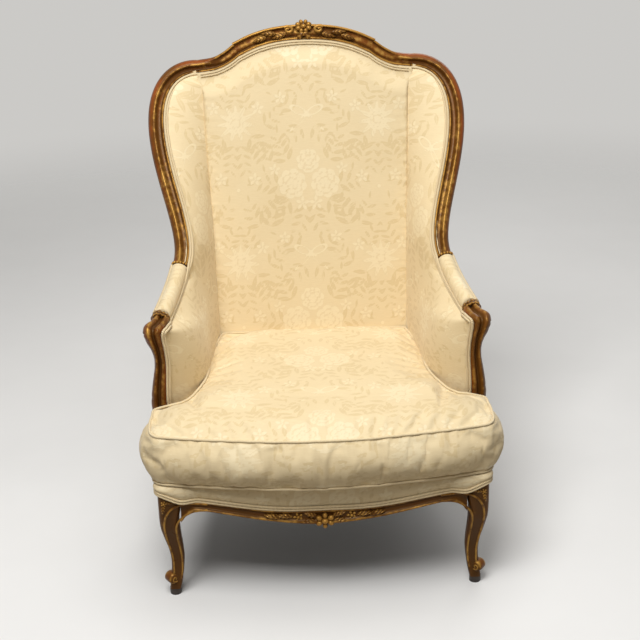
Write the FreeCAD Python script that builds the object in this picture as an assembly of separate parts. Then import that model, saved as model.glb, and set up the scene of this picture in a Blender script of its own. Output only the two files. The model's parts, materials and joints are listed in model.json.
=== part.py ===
import FreeCAD, Part
import math
import os

from FreeCAD import Vector

# Wing armchair in a traditional French style: a moulded show-wood frame, upholstered back, wings, arms and
# seat, and a loose T-shaped cushion that pulls forward off the deck. The front faces -Y, X is to the viewer's
# right and Z is up, with the origin on the floor under the middle of the chair. Sizes are in millimetres.

# Seat frame
RAIL_TOP = 240.0
RAIL_THICK = 28.0
RAIL_HEIGHT = 44.0
SEAT_HALF_WIDTH = 337.0
FRONT_Y = -344.0
FRONT_BOW = 20.0
SIDE_BOW = 16.0
SHOW_PROUD = 8.0
FRONT_DROP = 56.0
ARCH_DROP = 28.0
ARCH_X = 243.0
QUARTER_RISE = 10.0
RAIL_END_DROP = 51.0
SHOW_RISE = 32.0
SHOW_RISE_ENDS = 16.0
SHOW_QUARTER_RISE = 3.0
BEAD_PROUD = 2.5
BEAD_HEIGHT = 7.0
RAIL_FLOWER_RADIUS = 15.0
RAIL_FLOWER_HANG = 4.0
SIDE_ARCH_RISE = 14.0
SIDE_ARCH_INSET = 30.0
CORNER_BLOCK_HEIGHT = 22.0
CORNER_BLOCK_DROP = 26.0
CORNER_BLOCK_REACH = 78.0
REAR_BLOCK_REACH = 64.0

# Front legs
LEG_BLOCK = 46.0
LEG_SETBACK = 6.0
KNEE_DROP = 54.0
CALF_SIZE = 35.0
CALF_OFFSET = Vector(-3, 8, 0)
ANKLE_OFFSET = Vector(-8, 20, 0)
FOOT_OFFSET = Vector(2, 19, 0)
ANKLE_SIZE = 25.0
LEG_CHAMFER = 5.0
ANKLE_Z = 88.0
FOOT_SIZE = 26.0
FOOT_PAD_RADIUS = 13.0
FOOT_PAD_HEIGHT = 14.0
SCROLL_RADIUS = 13.0
SCROLL_LENGTH = 22.0

# Back frame
STILE_X = 230.0
STILE_Y = 238.0
STILE_WIDTH = 34.0
WOOD_DEPTH = 28.0
BACK_RAKE = math.radians(10)
REAR_FOOT_SPLAY = 92.0
REAR_FOOT_SIZE = 26.0
LOWER_BACK_RAIL_RISE = 52.0
LOWER_BACK_RAIL_HEIGHT = 38.0
STUFFING_RAIL_THICK = 9.0

# Crest rail, as heights of its middle line above the seat rails
CREST_MID_RISE = 814.0
CREST_KINK_X = 157.0
CREST_KINK_RISE = 779.0
CREST_JOINT_X = 246.0
CREST_JOINT_RISE = 744.0
CREST_WIDTH = 34.0
CREST_END_WIDTH = 29.0
CREST_SWEEP = [(0.0, 0.0, 0.0), (0.40, 0.10, 0.12), (0.72, 0.42, 0.32), (1.0, 1.0, 0.45)]
ROSETTE_RADIUS = 17.0
ROSETTE_PETALS = 8
RAIL_FLOWER_PETALS = 6
PETAL_ROOM = 0.94
PETAL_PROUD = 5.0
BOSS_PROUD = 7.0
FLOWER_SUNK = 9.0
FLOWER_TAPER = 0.6

# Show-wood moulding, as shares across the width (outer edge -0.5) and of the depth behind the face: square
# back, inner bead, cove, ridge and rounded outer shoulder
MOULDING = [
    (-0.5, 1.0), (0.5, 1.0),
    (0.5, 0.28), (0.44, 0.14), (0.34, 0.22),
    (0.18, 0.36), (0.02, 0.16),
    (-0.12, 0.0), (-0.26, 0.10),
    (-0.42, 0.30), (-0.5, 0.55),
]

# Wing rail, with the handles of its curve measured from its two ends
WING_WIDTH = 36.0
WING_STEPS = 8
WING_REACH = 196.0
WING_SPREAD = 61.0
WING_TOP_HANDLE = Vector(106, 8, 2)
WING_SHOULDER = Vector(158, -115, -112)
WING_FOOT_HANDLE = Vector(-19, 105, 82)

# Arms and their supports
ARM_RISE = 370.0
ARM_WIDTH = 33.0
ARM_FALL = 50.0
ARM_PAD_HEIGHT = 14.0
ARM_PAD_START = 0.06
ARM_PAD_END = 0.80
KNUCKLE_RADIUS = 19.0
KNUCKLE_WIDTH = 35.0
KNUCKLE_SINK = 4.0
KNUCKLE_RIDGES = [
    (-0.5, 0.7), (-0.4, 0.92), (-0.26, 1.0), (-0.1, 0.86),
    (0.1, 0.86), (0.26, 1.0), (0.4, 0.92), (0.5, 0.7),
]
TAIL_HEIGHT = 24.0
TAIL_DROP = 46.0
TAIL_THICK = 9.0
TAIL_BEHIND = 10.0
TAIL_START = 0.31
TAIL_TUCK = 9.2
ARM_REAR_HANDLE = 62.0
ARM_FRONT_HANDLE = Vector(-9, 65, 6)
ARM_END_OFFSET = Vector(-10, 30, 0)
SUPPORT_TOP_HANDLE = Vector(-8, -6, -65)
SUPPORT_NECK = Vector(-13, 32, -75)
SUPPORT_LOW = Vector(3, 4, -147)
SUPPORT_SETBACK = 154.0
SUPPORT_INSET = 4.0
SUPPORT_TOP_DROP = 33.0
SUPPORT_WAIST = 25.0
SUPPORT_FLARE = 8.0
SUPPORT_STEPS = 6
SUPPORT_DEPTH = 26.0

# Upholstery
DECK_SLOPE = math.radians(1.5)
DECK_FRONT_RISE = 28.0
WEB_WIDTH = 50.0
WEB_THICK = 1.6
WEB_PITCH = 84.0
BACK_WEB_PITCH = 110.0
BACK_SWELL = 6.0
CLOTH_THICK = 0.8
PANEL_THICK = 4.0
BACK_PAD_TOP_THICK = 12.0
BACK_PAD_FOOT_Y = 182.0
BACK_PAD_FOOT_RISE = 142.0
SEAM_FOOT_X = 218.0
SEAM_TOP_X = 234.0
SIDE_PAD_THICK = 10.0
SIDE_PAD_SAG = 38.0
WING_PAD_SAG = 3.0
SIDE_EDGE_DEPTH = 9.0
SIDE_EDGE_SQUEEZE = 0.7
SEAM_SQUEEZE = 0.5
RIB_BENDS = [(0.22, 0.2), (0.45, 0.55), (0.65, 0.9), (0.82, 0.95)]
SHEET_GAP = 0.8
RIB_LIFT = 2.0
CUSHION_HEIGHT = 118.0
CUSHION_EAR_X = 352.0
CUSHION_FRONT_BOW = 52.0
CUSHION_EAR_CUT = Vector(14, 30, 0)
CUSHION_NOTCH = 14.0
CUSHION_OVERHANG = 46.0
CUSHION_COVER_THICK = 1.5

# Clearances
FIT = 0.4
EDGE_GAP = 0.8
SIDE_GAP = 2.8
SUPPORT_GAP = 3.4
CUSHION_GAP = 4.5
PEG_RADIUS = 5.0
PEG_LENGTH = 36.0
PEG_CLEARANCE = 0.05

BACK_FACE = Vector(0, -math.cos(BACK_RAKE), math.sin(BACK_RAKE))
FAR = 2000.0
LOFT_DEGREE = 3


def face_y(z):
    """Front face of the back frame at a height."""
    return STILE_Y - WOOD_DEPTH / 2 + (z - RAIL_TOP) * math.tan(BACK_RAKE)


def bezier(points, t):
    points = list(points)
    while len(points) > 1:
        points = [a + (b - a) * t for a, b in zip(points, points[1:])]
    return points[0]


def bezier_tangent(points, t):
    return bezier([b - a for a, b in zip(points, points[1:])], t).normalize()


def line(a, b):
    return Part.LineSegment(a, b).toShape()


def arc(a, middle, b):
    return Part.Arc(a, middle, b).toShape()


def spline(points):
    curve = Part.BSplineCurve()
    curve.interpolate(points)
    return curve.toShape()


def prism(edges, direction):
    return Part.Face(Part.Wire(edges)).extrude(direction)


def polygon_prism(points, direction):
    return Part.Face(Part.makePolygon(points + points[:1])).extrude(direction)


def box(low, high):
    size = high - low
    return Part.makeBox(size.x, size.y, size.z, low)


def flattened(point, z):
    return Vector(point.x, point.y, z)


def mirrored(shape):
    return shape.mirror(Vector(0, 0, 0), Vector(1, 0, 0))


def largest(shape):
    return max(shape.Solids, key=lambda solid: solid.Volume)


def fused(shapes):
    """Solids joined into one, one after another."""
    whole = shapes[0]
    for shape in shapes[1:]:
        whole = whole.fuse(shape)
    return largest(whole.removeSplitter())


def lean(shape):
    """Tilts a shape modelled upright on the back frame's front face to the back's rake."""
    leaned = shape.copy()
    leaned.rotate(Vector(0, face_y(RAIL_TOP), RAIL_TOP), Vector(1, 0, 0), -math.degrees(BACK_RAKE))
    return leaned


# Show-wood mouldings

def section_axes(tangent):
    """Face and inward directions of a show-wood section."""
    face = BACK_FACE - tangent * BACK_FACE.dot(tangent)
    face.normalize()
    return face, tangent.cross(face)


def moulding_wire(point, tangent, width, depth, grow=0.0):
    """Closed moulding section at a point of a bar, grown all round by a clearance."""
    face, inward = section_axes(tangent)
    corners = []
    for across, behind in MOULDING:
        sideways = inward * (across * (width + 2 * grow))
        corners.append(point + sideways + face * (grow - behind * (depth + 2 * grow)))
    return Part.makePolygon(corners + corners[:1])


def moulded_bar(stations, grow=0.0):
    """Loft of moulding sections; a station is its point, tangent, width and depth."""
    wires = [moulding_wire(*station, grow) for station in stations]
    return Part.makeLoft(wires, True, False, False, LOFT_DEGREE)


def plain_bar(stations, grow=0.0):
    """Squared block over a moulded bar and in front of it, to cut off what ends under the bar."""
    wires = []
    for point, tangent, width, depth in stations:
        face, inward = section_axes(tangent)
        side = inward * (width / 2 + grow)
        front = point + face * depth
        rear = point - face * (depth + grow)
        corners = [rear - side, rear + side, front + side, front - side]
        wires.append(Part.makePolygon(corners + corners[:1]))
    return Part.makeLoft(wires, True, False, False, LOFT_DEGREE)


def carved_flower(centre, out, radius, petals):
    """Tapered boss ringed by tapered petals, sunk in the face behind it."""
    right = Vector(1, 0, 0)
    up = out.cross(right)
    spread = PETAL_ROOM * math.sin(math.pi / petals)
    petal = radius * spread / (1 + spread)
    boss = PETAL_ROOM * (radius - 2 * petal)
    root = centre - out * FLOWER_SUNK
    solids = [Part.makeCone(boss, boss * FLOWER_TAPER, FLOWER_SUNK + BOSS_PROUD, root, out)]
    for index in range(petals):
        turn = 2 * math.pi * index / petals
        toward = right * math.cos(turn) + up * math.sin(turn)
        place = root + toward * (radius - petal)
        solids.append(Part.makeCone(petal, petal * FLOWER_TAPER, FLOWER_SUNK + PETAL_PROUD, place, out))
    return solids


def arm_rear_end():
    z = RAIL_TOP + ARM_RISE
    return Vector(STILE_X + WING_SPREAD, face_y(z) - WING_REACH - WOOD_DEPTH / 2, z)


def crest_joint():
    z = RAIL_TOP + CREST_JOINT_RISE
    return Vector(CREST_JOINT_X, face_y(z), z)


def wing_curve():
    top = crest_joint()
    foot = arm_rear_end()
    return [top, top + WING_TOP_HANDLE, top + WING_SHOULDER, foot + WING_FOOT_HANDLE, foot]


def support_top():
    z = RAIL_TOP + ARM_RISE - ARM_FALL - SUPPORT_TOP_DROP
    return Vector(SEAT_HALF_WIDTH - SUPPORT_INSET, FRONT_Y + SUPPORT_SETBACK, z)


def arm_curve():
    start = arm_rear_end()
    top = support_top()
    end = flattened(top + ARM_END_OFFSET, start.z - ARM_FALL)
    away = bezier_tangent(wing_curve(), 1.0)
    return [start, start + away * ARM_REAR_HANDLE, end + ARM_FRONT_HANDLE, end]


def support_foot():
    y = FRONT_Y + SUPPORT_SETBACK - 2
    return Vector(side_rail_outer(y) - SUPPORT_DEPTH / 2 - 4, y, RAIL_TOP)


def support_curve():
    top = support_top()
    return [top, top + SUPPORT_TOP_HANDLE, top + SUPPORT_NECK, top + SUPPORT_LOW]


def wing_stations(steps=WING_STEPS):
    curve = wing_curve()
    stations = []
    for step in range(steps + 1):
        t = step / steps
        swell = math.sin(math.pi * t) ** 0.7
        width = CREST_END_WIDTH + (ARM_WIDTH - CREST_END_WIDTH) * t + (WING_WIDTH - ARM_WIDTH + 3) * swell
        stations.append((bezier(curve, t), bezier_tangent(curve, t), width, WOOD_DEPTH))
    return stations


def arm_stations(start, end, lower=0.0, steps=4):
    curve = arm_curve()
    stations = []
    for step in range(steps + 1):
        t = start + (end - start) * step / steps
        tangent = bezier_tangent(curve, t)
        face, _ = section_axes(tangent)
        stations.append((bezier(curve, t) - face * lower, tangent, ARM_WIDTH, WOOD_DEPTH - lower))
    return stations


def support_stations():
    """Sections down the support: the S-curve, then straight down past the deck to the seat rail."""
    curve = support_curve()
    foot = support_foot()
    down = Vector(0, 0, -1)
    stations = [(support_top(), down, SUPPORT_WAIST + 3, SUPPORT_DEPTH)]
    for step in range(1, SUPPORT_STEPS + 1):
        t = step / SUPPORT_STEPS
        width = SUPPORT_WAIST + SUPPORT_FLARE * t ** 3
        stations.append((bezier(curve, t), bezier_tangent(curve, t), width, SUPPORT_DEPTH))
    low = bezier(curve, 1.0)
    deck = deck_z(FRONT_Y) + RIB_LIFT
    for z in ((2 * low.z + deck) / 3, (low.z + 2 * deck) / 3, deck, foot.z):
        share = (z - foot.z) / (low.z - foot.z)
        stations.append((foot + (low - foot) * share, down, SUPPORT_WAIST + SUPPORT_FLARE, SUPPORT_DEPTH))
    return stations


def crest_point(x, rise):
    z = RAIL_TOP + rise
    return Vector(x, face_y(z), z)


def crest_stations():
    """Right half of the crest: the swept middle, and the shoulder beyond the kink."""
    along = Vector(1, 0, 0)
    fall = Vector(0, BACK_FACE.z, -math.cos(BACK_RAKE)) * -1
    kink_drop = CREST_MID_RISE - CREST_KINK_RISE
    joint_drop = CREST_KINK_RISE - CREST_JOINT_RISE
    shoulder_run = CREST_JOINT_X - CREST_KINK_X

    def sloped(slope):
        return (along - fall * slope).normalize()

    middle = []
    for run, drop, slope in CREST_SWEEP:
        point = crest_point(run * CREST_KINK_X, CREST_MID_RISE - drop * kink_drop)
        middle.append((point, sloped(slope), CREST_WIDTH, WOOD_DEPTH))
    shoulder = [
        middle[-1],
        (crest_point(CREST_KINK_X + 0.28 * shoulder_run, CREST_KINK_RISE - 0.50 * joint_drop), sloped(0.55),
         CREST_END_WIDTH + 1, WOOD_DEPTH),
        (crest_point(CREST_KINK_X + 0.58 * shoulder_run, CREST_KINK_RISE - 0.83 * joint_drop), sloped(0.25),
         CREST_END_WIDTH, WOOD_DEPTH),
        (crest_joint(), bezier_tangent(wing_curve(), 0.0), CREST_END_WIDTH, WOOD_DEPTH),
    ]
    return middle, shoulder


def pegs():
    """Dowels across the frame joints of the right side: middle point and direction."""
    joint_tangent = bezier_tangent(wing_curve(), 0.0)
    foot_tangent = bezier_tangent(wing_curve(), 1.0)
    foot_face, _ = section_axes(foot_tangent)
    joint_face, _ = section_axes(joint_tangent)
    half = WOOD_DEPTH / 2
    crest_under = stile_top()
    return [
        (crest_joint() - joint_face * half, joint_tangent),
        (arm_rear_end() - foot_face * (WOOD_DEPTH * 0.75), foot_tangent),
        (support_top() + Vector(0, SUPPORT_DEPTH / 2, 0), Vector(0, 0, 1)),
        (support_foot() + Vector(0, SUPPORT_DEPTH / 2, 0), Vector(0, 0, 1)),
        (crest_under - Vector(8, 0, 0), Vector(0, math.sin(BACK_RAKE), math.cos(BACK_RAKE))),
    ]


def peg_solids(radius, length):
    solids = []
    for middle, direction in pegs():
        start = middle - direction * (length / 2)
        solids.append(Part.makeCylinder(radius, length, start, direction))
    return solids


def drilled(shape):
    return largest(shape.cut(peg_solids(PEG_RADIUS + PEG_CLEARANCE, PEG_LENGTH + 2 * PEG_CLEARANCE)))


def crest_half(grow=0.0):
    middle, shoulder = crest_stations()
    return moulded_bar(middle, grow).fuse(moulded_bar(shoulder, grow))


def crest_rail():
    half = drilled(crest_half())
    top = crest_point(0, CREST_MID_RISE + CREST_WIDTH / 2)
    depth = WOOD_DEPTH / 2
    disc = Part.makeCylinder(ROSETTE_RADIUS - 1, depth, top - BACK_FACE * depth, BACK_FACE)
    flower = carved_flower(top, BACK_FACE, ROSETTE_RADIUS, ROSETTE_PETALS)
    return fused([half, mirrored(half), disc] + flower)


def wing_rail():
    return drilled(moulded_bar(wing_stations()))


def knuckle(grow=0.0):
    """Turned knuckle at the front of the arm, with two ridges and a hollow between them."""
    centre = support_top() + Vector(0, SUPPORT_DEPTH / 2, KNUCKLE_RADIUS - KNUCKLE_SINK)
    length = KNUCKLE_WIDTH + 2 * grow
    end = Vector(length / 2, 0, 0)
    outline = [centre - end]
    for across, share in KNUCKLE_RIDGES:
        outline.append(centre + Vector(across * length, 0, share * KNUCKLE_RADIUS + grow))
    outline.append(centre + end)
    return Part.Face(Part.makePolygon(outline + outline[:1])).revolve(centre, Vector(1, 0, 0), 360)


def arm_body(grow=0.0):
    """Full section at both ends, and a lowered seat for the arm pad between them."""
    rear = moulded_bar(arm_stations(0.0, ARM_PAD_START, steps=2), grow)
    seat = moulded_bar(arm_stations(ARM_PAD_START, ARM_PAD_END, ARM_PAD_HEIGHT, steps=6), grow)
    front = moulded_bar(arm_stations(ARM_PAD_END, 1.0, steps=2), grow)
    return rear.fuse([seat, front, knuckle(grow)])


def arm_tail():
    """Hidden tail that carries the arm back to the stile, bent between the inside and outside coverings."""
    start = arm_rear_end()
    low = start.z - TAIL_DROP
    half = Vector(TAIL_THICK / 2, 0, 0)
    rear_y = face_y(low + TAIL_HEIGHT / 2) + WOOD_DEPTH / 2
    front = Vector(bezier(arm_curve(), TAIL_START).x - TAIL_TUCK, start.y - TAIL_BEHIND, low)
    curve = [
        front,
        front + Vector(-14, 80, 0),
        Vector(STILE_X + STILE_WIDTH / 4 - half.x + 2, rear_y, low),
    ]
    line_points = [bezier(curve, step / 5) for step in range(6)]
    plan = [point + half for point in line_points] + [point - half for point in reversed(line_points)]
    return polygon_prism(plan, Vector(0, 0, TAIL_HEIGHT)).cut(stile_upper(FIT / 4))


def arm():
    top = support_top()
    body = arm_body().fuse(arm_tail())
    below = box(Vector(top.x - 60, top.y - 40, top.z - 60), Vector(top.x + 60, top.y + 60, top.z))
    return drilled(body.cut(below).cut(moulded_bar(wing_stations())))


def arm_support():
    return drilled(moulded_bar(support_stations()))


# Seat frame

def front_edge(x, offset=0.0):
    """Front face of the front rail across the chair, bowed between the legs."""
    return FRONT_Y - offset + FRONT_BOW * (x / SEAT_HALF_WIDTH) ** 2


def side_rail_outer(y):
    """Outer face of a side rail along the chair."""
    start = leg_corner().y
    end = face_y(RAIL_TOP)
    u = (y - start) / (end - start)
    straight = SEAT_HALF_WIDTH - 2 + (STILE_X + STILE_WIDTH / 2 - SEAT_HALF_WIDTH + 2) * u
    return straight + 4 * SIDE_BOW * u * (1 - u)


def leg_corner():
    """Inner rear corner of the right front leg's block."""
    return Vector(SEAT_HALF_WIDTH - LEG_BLOCK, FRONT_Y + LEG_BLOCK + LEG_SETBACK, 0)


def plan_strip(near, far, half_length, z, height):
    """Strip between two bowed lines across the chair."""
    xs = [-half_length, 0, half_length]
    near_points = [Vector(x, front_edge(x, near), z) for x in xs]
    far_points = [Vector(x, front_edge(x, far), z) for x in xs]
    return prism([
        arc(*near_points),
        line(near_points[-1], far_points[-1]),
        arc(*reversed(far_points)),
        line(far_points[0], near_points[0]),
    ], Vector(0, 0, height))


def front_elevation(top_points, bottom_points):
    """Upright sheet across the front between two drawn edges."""
    return prism([
        spline(bottom_points),
        line(bottom_points[-1], top_points[-1]),
        spline(list(reversed(top_points))),
        line(top_points[0], bottom_points[0]),
    ], Vector(0, -FAR, 0))


def rail_edge_points(rises):
    """Points of an edge across the front, from heights at the middle, quarter, arch and end."""
    half = leg_corner().x
    haunch = (ARCH_X + 0.64 * (half - ARCH_X), rises[2] + 0.23 * (rises[3] - rises[2]))
    right = [(0, rises[0]), (ARCH_X * 0.45, rises[1]), (ARCH_X, rises[2]), haunch, (half, rises[3])]
    across = [(-x, z) for x, z in reversed(right[1:])] + right
    return [Vector(x, 0, RAIL_TOP + z) for x, z in across]


def rail_bottom_points():
    return rail_edge_points((-FRONT_DROP, -FRONT_DROP + QUARTER_RISE, -ARCH_DROP, -RAIL_END_DROP))


def show_top_points():
    middle = -FRONT_DROP + SHOW_RISE
    ends = -ARCH_DROP + SHOW_RISE_ENDS
    return rail_edge_points((middle, middle + SHOW_QUARTER_RISE, ends, ends))


def front_seat_rail():
    half = leg_corner().x
    straight = [Vector(-half, 0, RAIL_TOP), Vector(half, 0, RAIL_TOP)]
    board_sheet = front_elevation(straight, rail_bottom_points())
    show_sheet = front_elevation(show_top_points(), rail_bottom_points())
    bead_sheet = front_elevation([point + Vector(0, 0, BEAD_HEIGHT) for point in rail_bottom_points()],
                                 rail_bottom_points())
    low = RAIL_TOP - 2 * FRONT_DROP
    board = plan_strip(0, -RAIL_THICK, half, low, FAR).common(board_sheet)
    show = plan_strip(SHOW_PROUD, 0, half, low, FAR).common(show_sheet)
    bead = plan_strip(SHOW_PROUD + BEAD_PROUD, 0, half, low, FAR).common(bead_sheet)
    flower_z = RAIL_TOP - FRONT_DROP + RAIL_FLOWER_RADIUS - RAIL_FLOWER_HANG
    middle = Vector(0, front_edge(0, SHOW_PROUD), flower_z)
    flower = carved_flower(middle, Vector(0, -1, 0), RAIL_FLOWER_RADIUS, RAIL_FLOWER_PETALS)
    return fused([board, show, bead] + flower)


def side_seat_rail():
    start = leg_corner().y
    end = face_y(RAIL_TOP)
    ys = [start + (end - start) * step / 4 for step in range(5)]
    low = RAIL_TOP - RAIL_HEIGHT
    outer = [Vector(side_rail_outer(y), y, low) for y in ys]
    inner = [point - Vector(RAIL_THICK, 0, 0) for point in outer]
    board = prism([
        spline(outer),
        line(outer[-1], inner[-1]),
        spline(list(reversed(inner))),
        line(inner[0], outer[0]),
    ], Vector(0, 0, RAIL_HEIGHT))
    middle = (start + end) / 2
    near = Vector(0, start + SIDE_ARCH_INSET, low)
    far = Vector(0, end - SIDE_ARCH_INSET, low)
    arch = prism([
        arc(near, Vector(0, middle, low + SIDE_ARCH_RISE), far),
        line(far, near),
    ], Vector(FAR, 0, 0))
    return drilled(board.cut(arch))


def rear_seat_rail():
    half = STILE_X - STILE_WIDTH / 2
    low = Vector(-half, STILE_Y - WOOD_DEPTH / 2, RAIL_TOP - RAIL_HEIGHT)
    return box(low, Vector(half, STILE_Y + WOOD_DEPTH / 2, RAIL_TOP))


def leg_section(centre, width, depth, chamfer):
    """Rectangle with chamfered corners, level at a height of a leg."""
    x, y = width / 2, depth / 2
    corners = []
    for sx, sy in ((1, -1), (1, 1), (-1, 1), (-1, -1)):
        ends = [Vector(sx * (x - chamfer), sy * y, 0), Vector(sx * x, sy * (y - chamfer), 0)]
        corners += ends if sx * sy < 0 else reversed(ends)
    points = [centre + corner for corner in corners]
    return Part.makePolygon(points + points[:1])


def front_foot_centre():
    corner = leg_corner()
    return corner + Vector(LEG_BLOCK / 2, -LEG_BLOCK / 2, 0) + FOOT_OFFSET


def front_leg():
    corner = leg_corner()
    block_low = RAIL_TOP - KNEE_DROP
    block = box(Vector(corner.x, corner.y - LEG_BLOCK, block_low),
                Vector(SEAT_HALF_WIDTH, corner.y, RAIL_TOP))
    knee = Vector(corner.x + LEG_BLOCK / 2, corner.y - LEG_BLOCK / 2, block_low)
    foot = front_foot_centre() + Vector(0, 0, FOOT_PAD_HEIGHT)
    ankle = flattened(knee + ANKLE_OFFSET, ANKLE_Z)
    calf = flattened(knee + CALF_OFFSET, (block_low * 2 + ANKLE_Z) / 3)
    sections = [
        leg_section(knee, LEG_BLOCK, LEG_BLOCK, LEG_CHAMFER),
        leg_section(calf, CALF_SIZE, CALF_SIZE, LEG_CHAMFER),
        leg_section(ankle, ANKLE_SIZE, ANKLE_SIZE, LEG_CHAMFER),
        leg_section((ankle + foot) * 0.5 - Vector(2, 0, 0), ANKLE_SIZE, ANKLE_SIZE, LEG_CHAMFER),
        leg_section(foot, FOOT_SIZE, FOOT_SIZE, LEG_CHAMFER),
    ]
    shank = Part.makeLoft(sections, True)
    outward = Vector(1, -1, 0).normalize()
    across = Vector(1, 1, 0).normalize()
    scroll_centre = foot + outward * (FOOT_SIZE * 0.36) + Vector(0, 0, SCROLL_RADIUS + 10)
    scroll_start = scroll_centre - across * (SCROLL_LENGTH / 2)
    scroll = Part.makeCylinder(SCROLL_RADIUS, SCROLL_LENGTH, scroll_start, across)
    return fused([block, shank, scroll])


def rear_foot_centre():
    return Vector(STILE_X + 16, STILE_Y + REAR_FOOT_SPLAY, 0)


def stile_top():
    """Where the middle of the stile's top meets the underside of the crest."""
    z = RAIL_TOP + CREST_JOINT_RISE - CREST_END_WIDTH / 2 + 2
    return Vector(STILE_X, face_y(z) + WOOD_DEPTH / 2, z)


def stile_upper(grow=0.0):
    """Raked part of the right stile, above the seat rails."""
    half = STILE_WIDTH / 2 + grow
    length = (CREST_JOINT_RISE + 20) / math.cos(BACK_RAKE)
    front = face_y(RAIL_TOP)
    low = Vector(STILE_X - half, front - grow, RAIL_TOP - 20)
    upright = box(low, Vector(STILE_X + half, front + WOOD_DEPTH + grow, RAIL_TOP + length))
    return lean(upright).common(box(Vector(0, -FAR, RAIL_TOP), Vector(FAR, FAR, FAR)))


def rear_stile():
    half = STILE_WIDTH / 2
    block_low = RAIL_TOP - RAIL_HEIGHT - 6
    block = box(Vector(STILE_X - half, STILE_Y - WOOD_DEPTH / 2, block_low),
                Vector(STILE_X + half, STILE_Y + WOOD_DEPTH / 2, RAIL_TOP))
    knee = Vector(STILE_X, STILE_Y, block_low)
    foot = rear_foot_centre() + Vector(0, 0, FOOT_PAD_HEIGHT)
    shin = Vector((knee.x + foot.x) / 2 - 2, knee.y + (foot.y - knee.y) * 0.38, (knee.z + foot.z) / 2)
    leg = Part.makeLoft([
        leg_section(knee, STILE_WIDTH, WOOD_DEPTH, 3),
        leg_section(shin, REAR_FOOT_SIZE + 4, REAR_FOOT_SIZE + 2, 4),
        leg_section(foot, REAR_FOOT_SIZE, REAR_FOOT_SIZE, 5),
    ], True)
    covers = [plain_bar(stations, FIT) for stations in crest_stations()]
    upper = largest(stile_upper().cut(covers + [plain_bar(wing_stations(), FIT)]))
    return drilled(block.fuse([leg, upper]).removeSplitter())


def lower_back_rail():
    half = STILE_X - STILE_WIDTH / 2
    low = Vector(-half, face_y(RAIL_TOP), RAIL_TOP + LOWER_BACK_RAIL_RISE)
    return lean(box(low, low + Vector(2 * half, WOOD_DEPTH, LOWER_BACK_RAIL_HEIGHT)))


def foot_pads():
    centres = [front_foot_centre(), rear_foot_centre()]
    pads = [Part.makeCylinder(FOOT_PAD_RADIUS - 1, FOOT_PAD_HEIGHT, centre) for centre in centres]
    return pads + [mirrored(pad) for pad in pads]


def corner_blocks(front_rail, side_rail, leg, rear_rail, stile):
    low = RAIL_TOP - CORNER_BLOCK_DROP
    corner = leg_corner()
    front_triangle = [
        Vector(corner.x + 10, corner.y - 20, low),
        Vector(corner.x - CORNER_BLOCK_REACH, corner.y - 20, low),
        Vector(corner.x + 10, corner.y + CORNER_BLOCK_REACH, low),
    ]
    rear_x = STILE_X - STILE_WIDTH / 2
    rear_triangle = [
        Vector(rear_x + 20, face_y(RAIL_TOP) + 5, low),
        Vector(rear_x - REAR_BLOCK_REACH, face_y(RAIL_TOP) + 5, low),
        Vector(rear_x + 20, face_y(RAIL_TOP) - REAR_BLOCK_REACH, low),
    ]
    up = Vector(0, 0, CORNER_BLOCK_HEIGHT)
    front = largest(polygon_prism(front_triangle, up).cut([front_rail, side_rail, leg]))
    rear = largest(polygon_prism(rear_triangle, up).cut([rear_rail, side_rail, stile]))
    return [front, mirrored(front), rear, mirrored(rear)]


def stuffing_rail():
    """Hidden rail above the seat rail that the inside arm is fastened to."""
    foot = support_foot()
    low = RAIL_TOP + DECK_FRONT_RISE + 8
    start = Vector(foot.x + 1.5, foot.y + SUPPORT_DEPTH / 2, low)
    end = Vector(STILE_X + STILE_WIDTH / 2 - STUFFING_RAIL_THICK / 2, face_y(low) + 10, low)
    across = Vector(STUFFING_RAIL_THICK / 2, 0, 0)
    plan = [start - across, start + across, end + across, end - across]
    bar = polygon_prism(plan, Vector(0, 0, 26))
    return largest(bar.cut([moulded_bar(support_stations(), FIT / 4), stile_upper(FIT / 4)]))


# Seat upholstery

def deck_z(y):
    return RAIL_TOP + DECK_FRONT_RISE - (y - FRONT_Y) * math.tan(DECK_SLOPE)


def seat_plan(inset, z):
    """Outline over the seat rails, set in from their outer faces."""
    start = front_edge(SEAT_HALF_WIDTH) + inset
    end = face_y(RAIL_TOP) - 1
    ys = [start + (end - start) * step / 5 for step in range(6)]
    right = [Vector(side_rail_outer(y) - inset, y, z) for y in ys]
    left = [Vector(-point.x, point.y, z) for point in right]
    return [
        arc(left[0], Vector(0, FRONT_Y + inset, z), right[0]),
        spline(right),
        line(right[-1], left[-1]),
        spline(list(reversed(left))),
    ]


def both_supports(grow):
    right = moulded_bar(support_stations(), grow)
    return [right, mirrored(right)]


def webbing_front_to_back():
    straps = []
    for index in range(-2, 3):
        x = index * WEB_PITCH
        front = front_edge(x) + RAIL_THICK / 2
        straps.append(box(Vector(x - WEB_WIDTH / 2, front, RAIL_TOP),
                          Vector(x + WEB_WIDTH / 2, STILE_Y, RAIL_TOP + WEB_THICK)))
    return straps


def webbing_side_to_side():
    start = support_foot().y + SUPPORT_DEPTH + WEB_WIDTH / 2 + 6
    end = face_y(RAIL_TOP) - WEB_WIDTH / 2 - 16
    straps = []
    for step in range(5):
        y = start + (end - start) * step / 4
        half = side_rail_outer(y + WEB_WIDTH / 2) - RAIL_THICK / 2
        low = Vector(-half, y - WEB_WIDTH / 2, RAIL_TOP + WEB_THICK)
        straps.append(box(low, Vector(half, y + WEB_WIDTH / 2, RAIL_TOP + 2 * WEB_THICK)))
    return straps


def seat_hessian():
    low = RAIL_TOP + 2 * WEB_THICK
    sheet = prism(seat_plan(RAIL_THICK / 2, low), Vector(0, 0, CLOTH_THICK))
    return sheet.cut(both_supports(FIT)).Solids[0]


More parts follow.
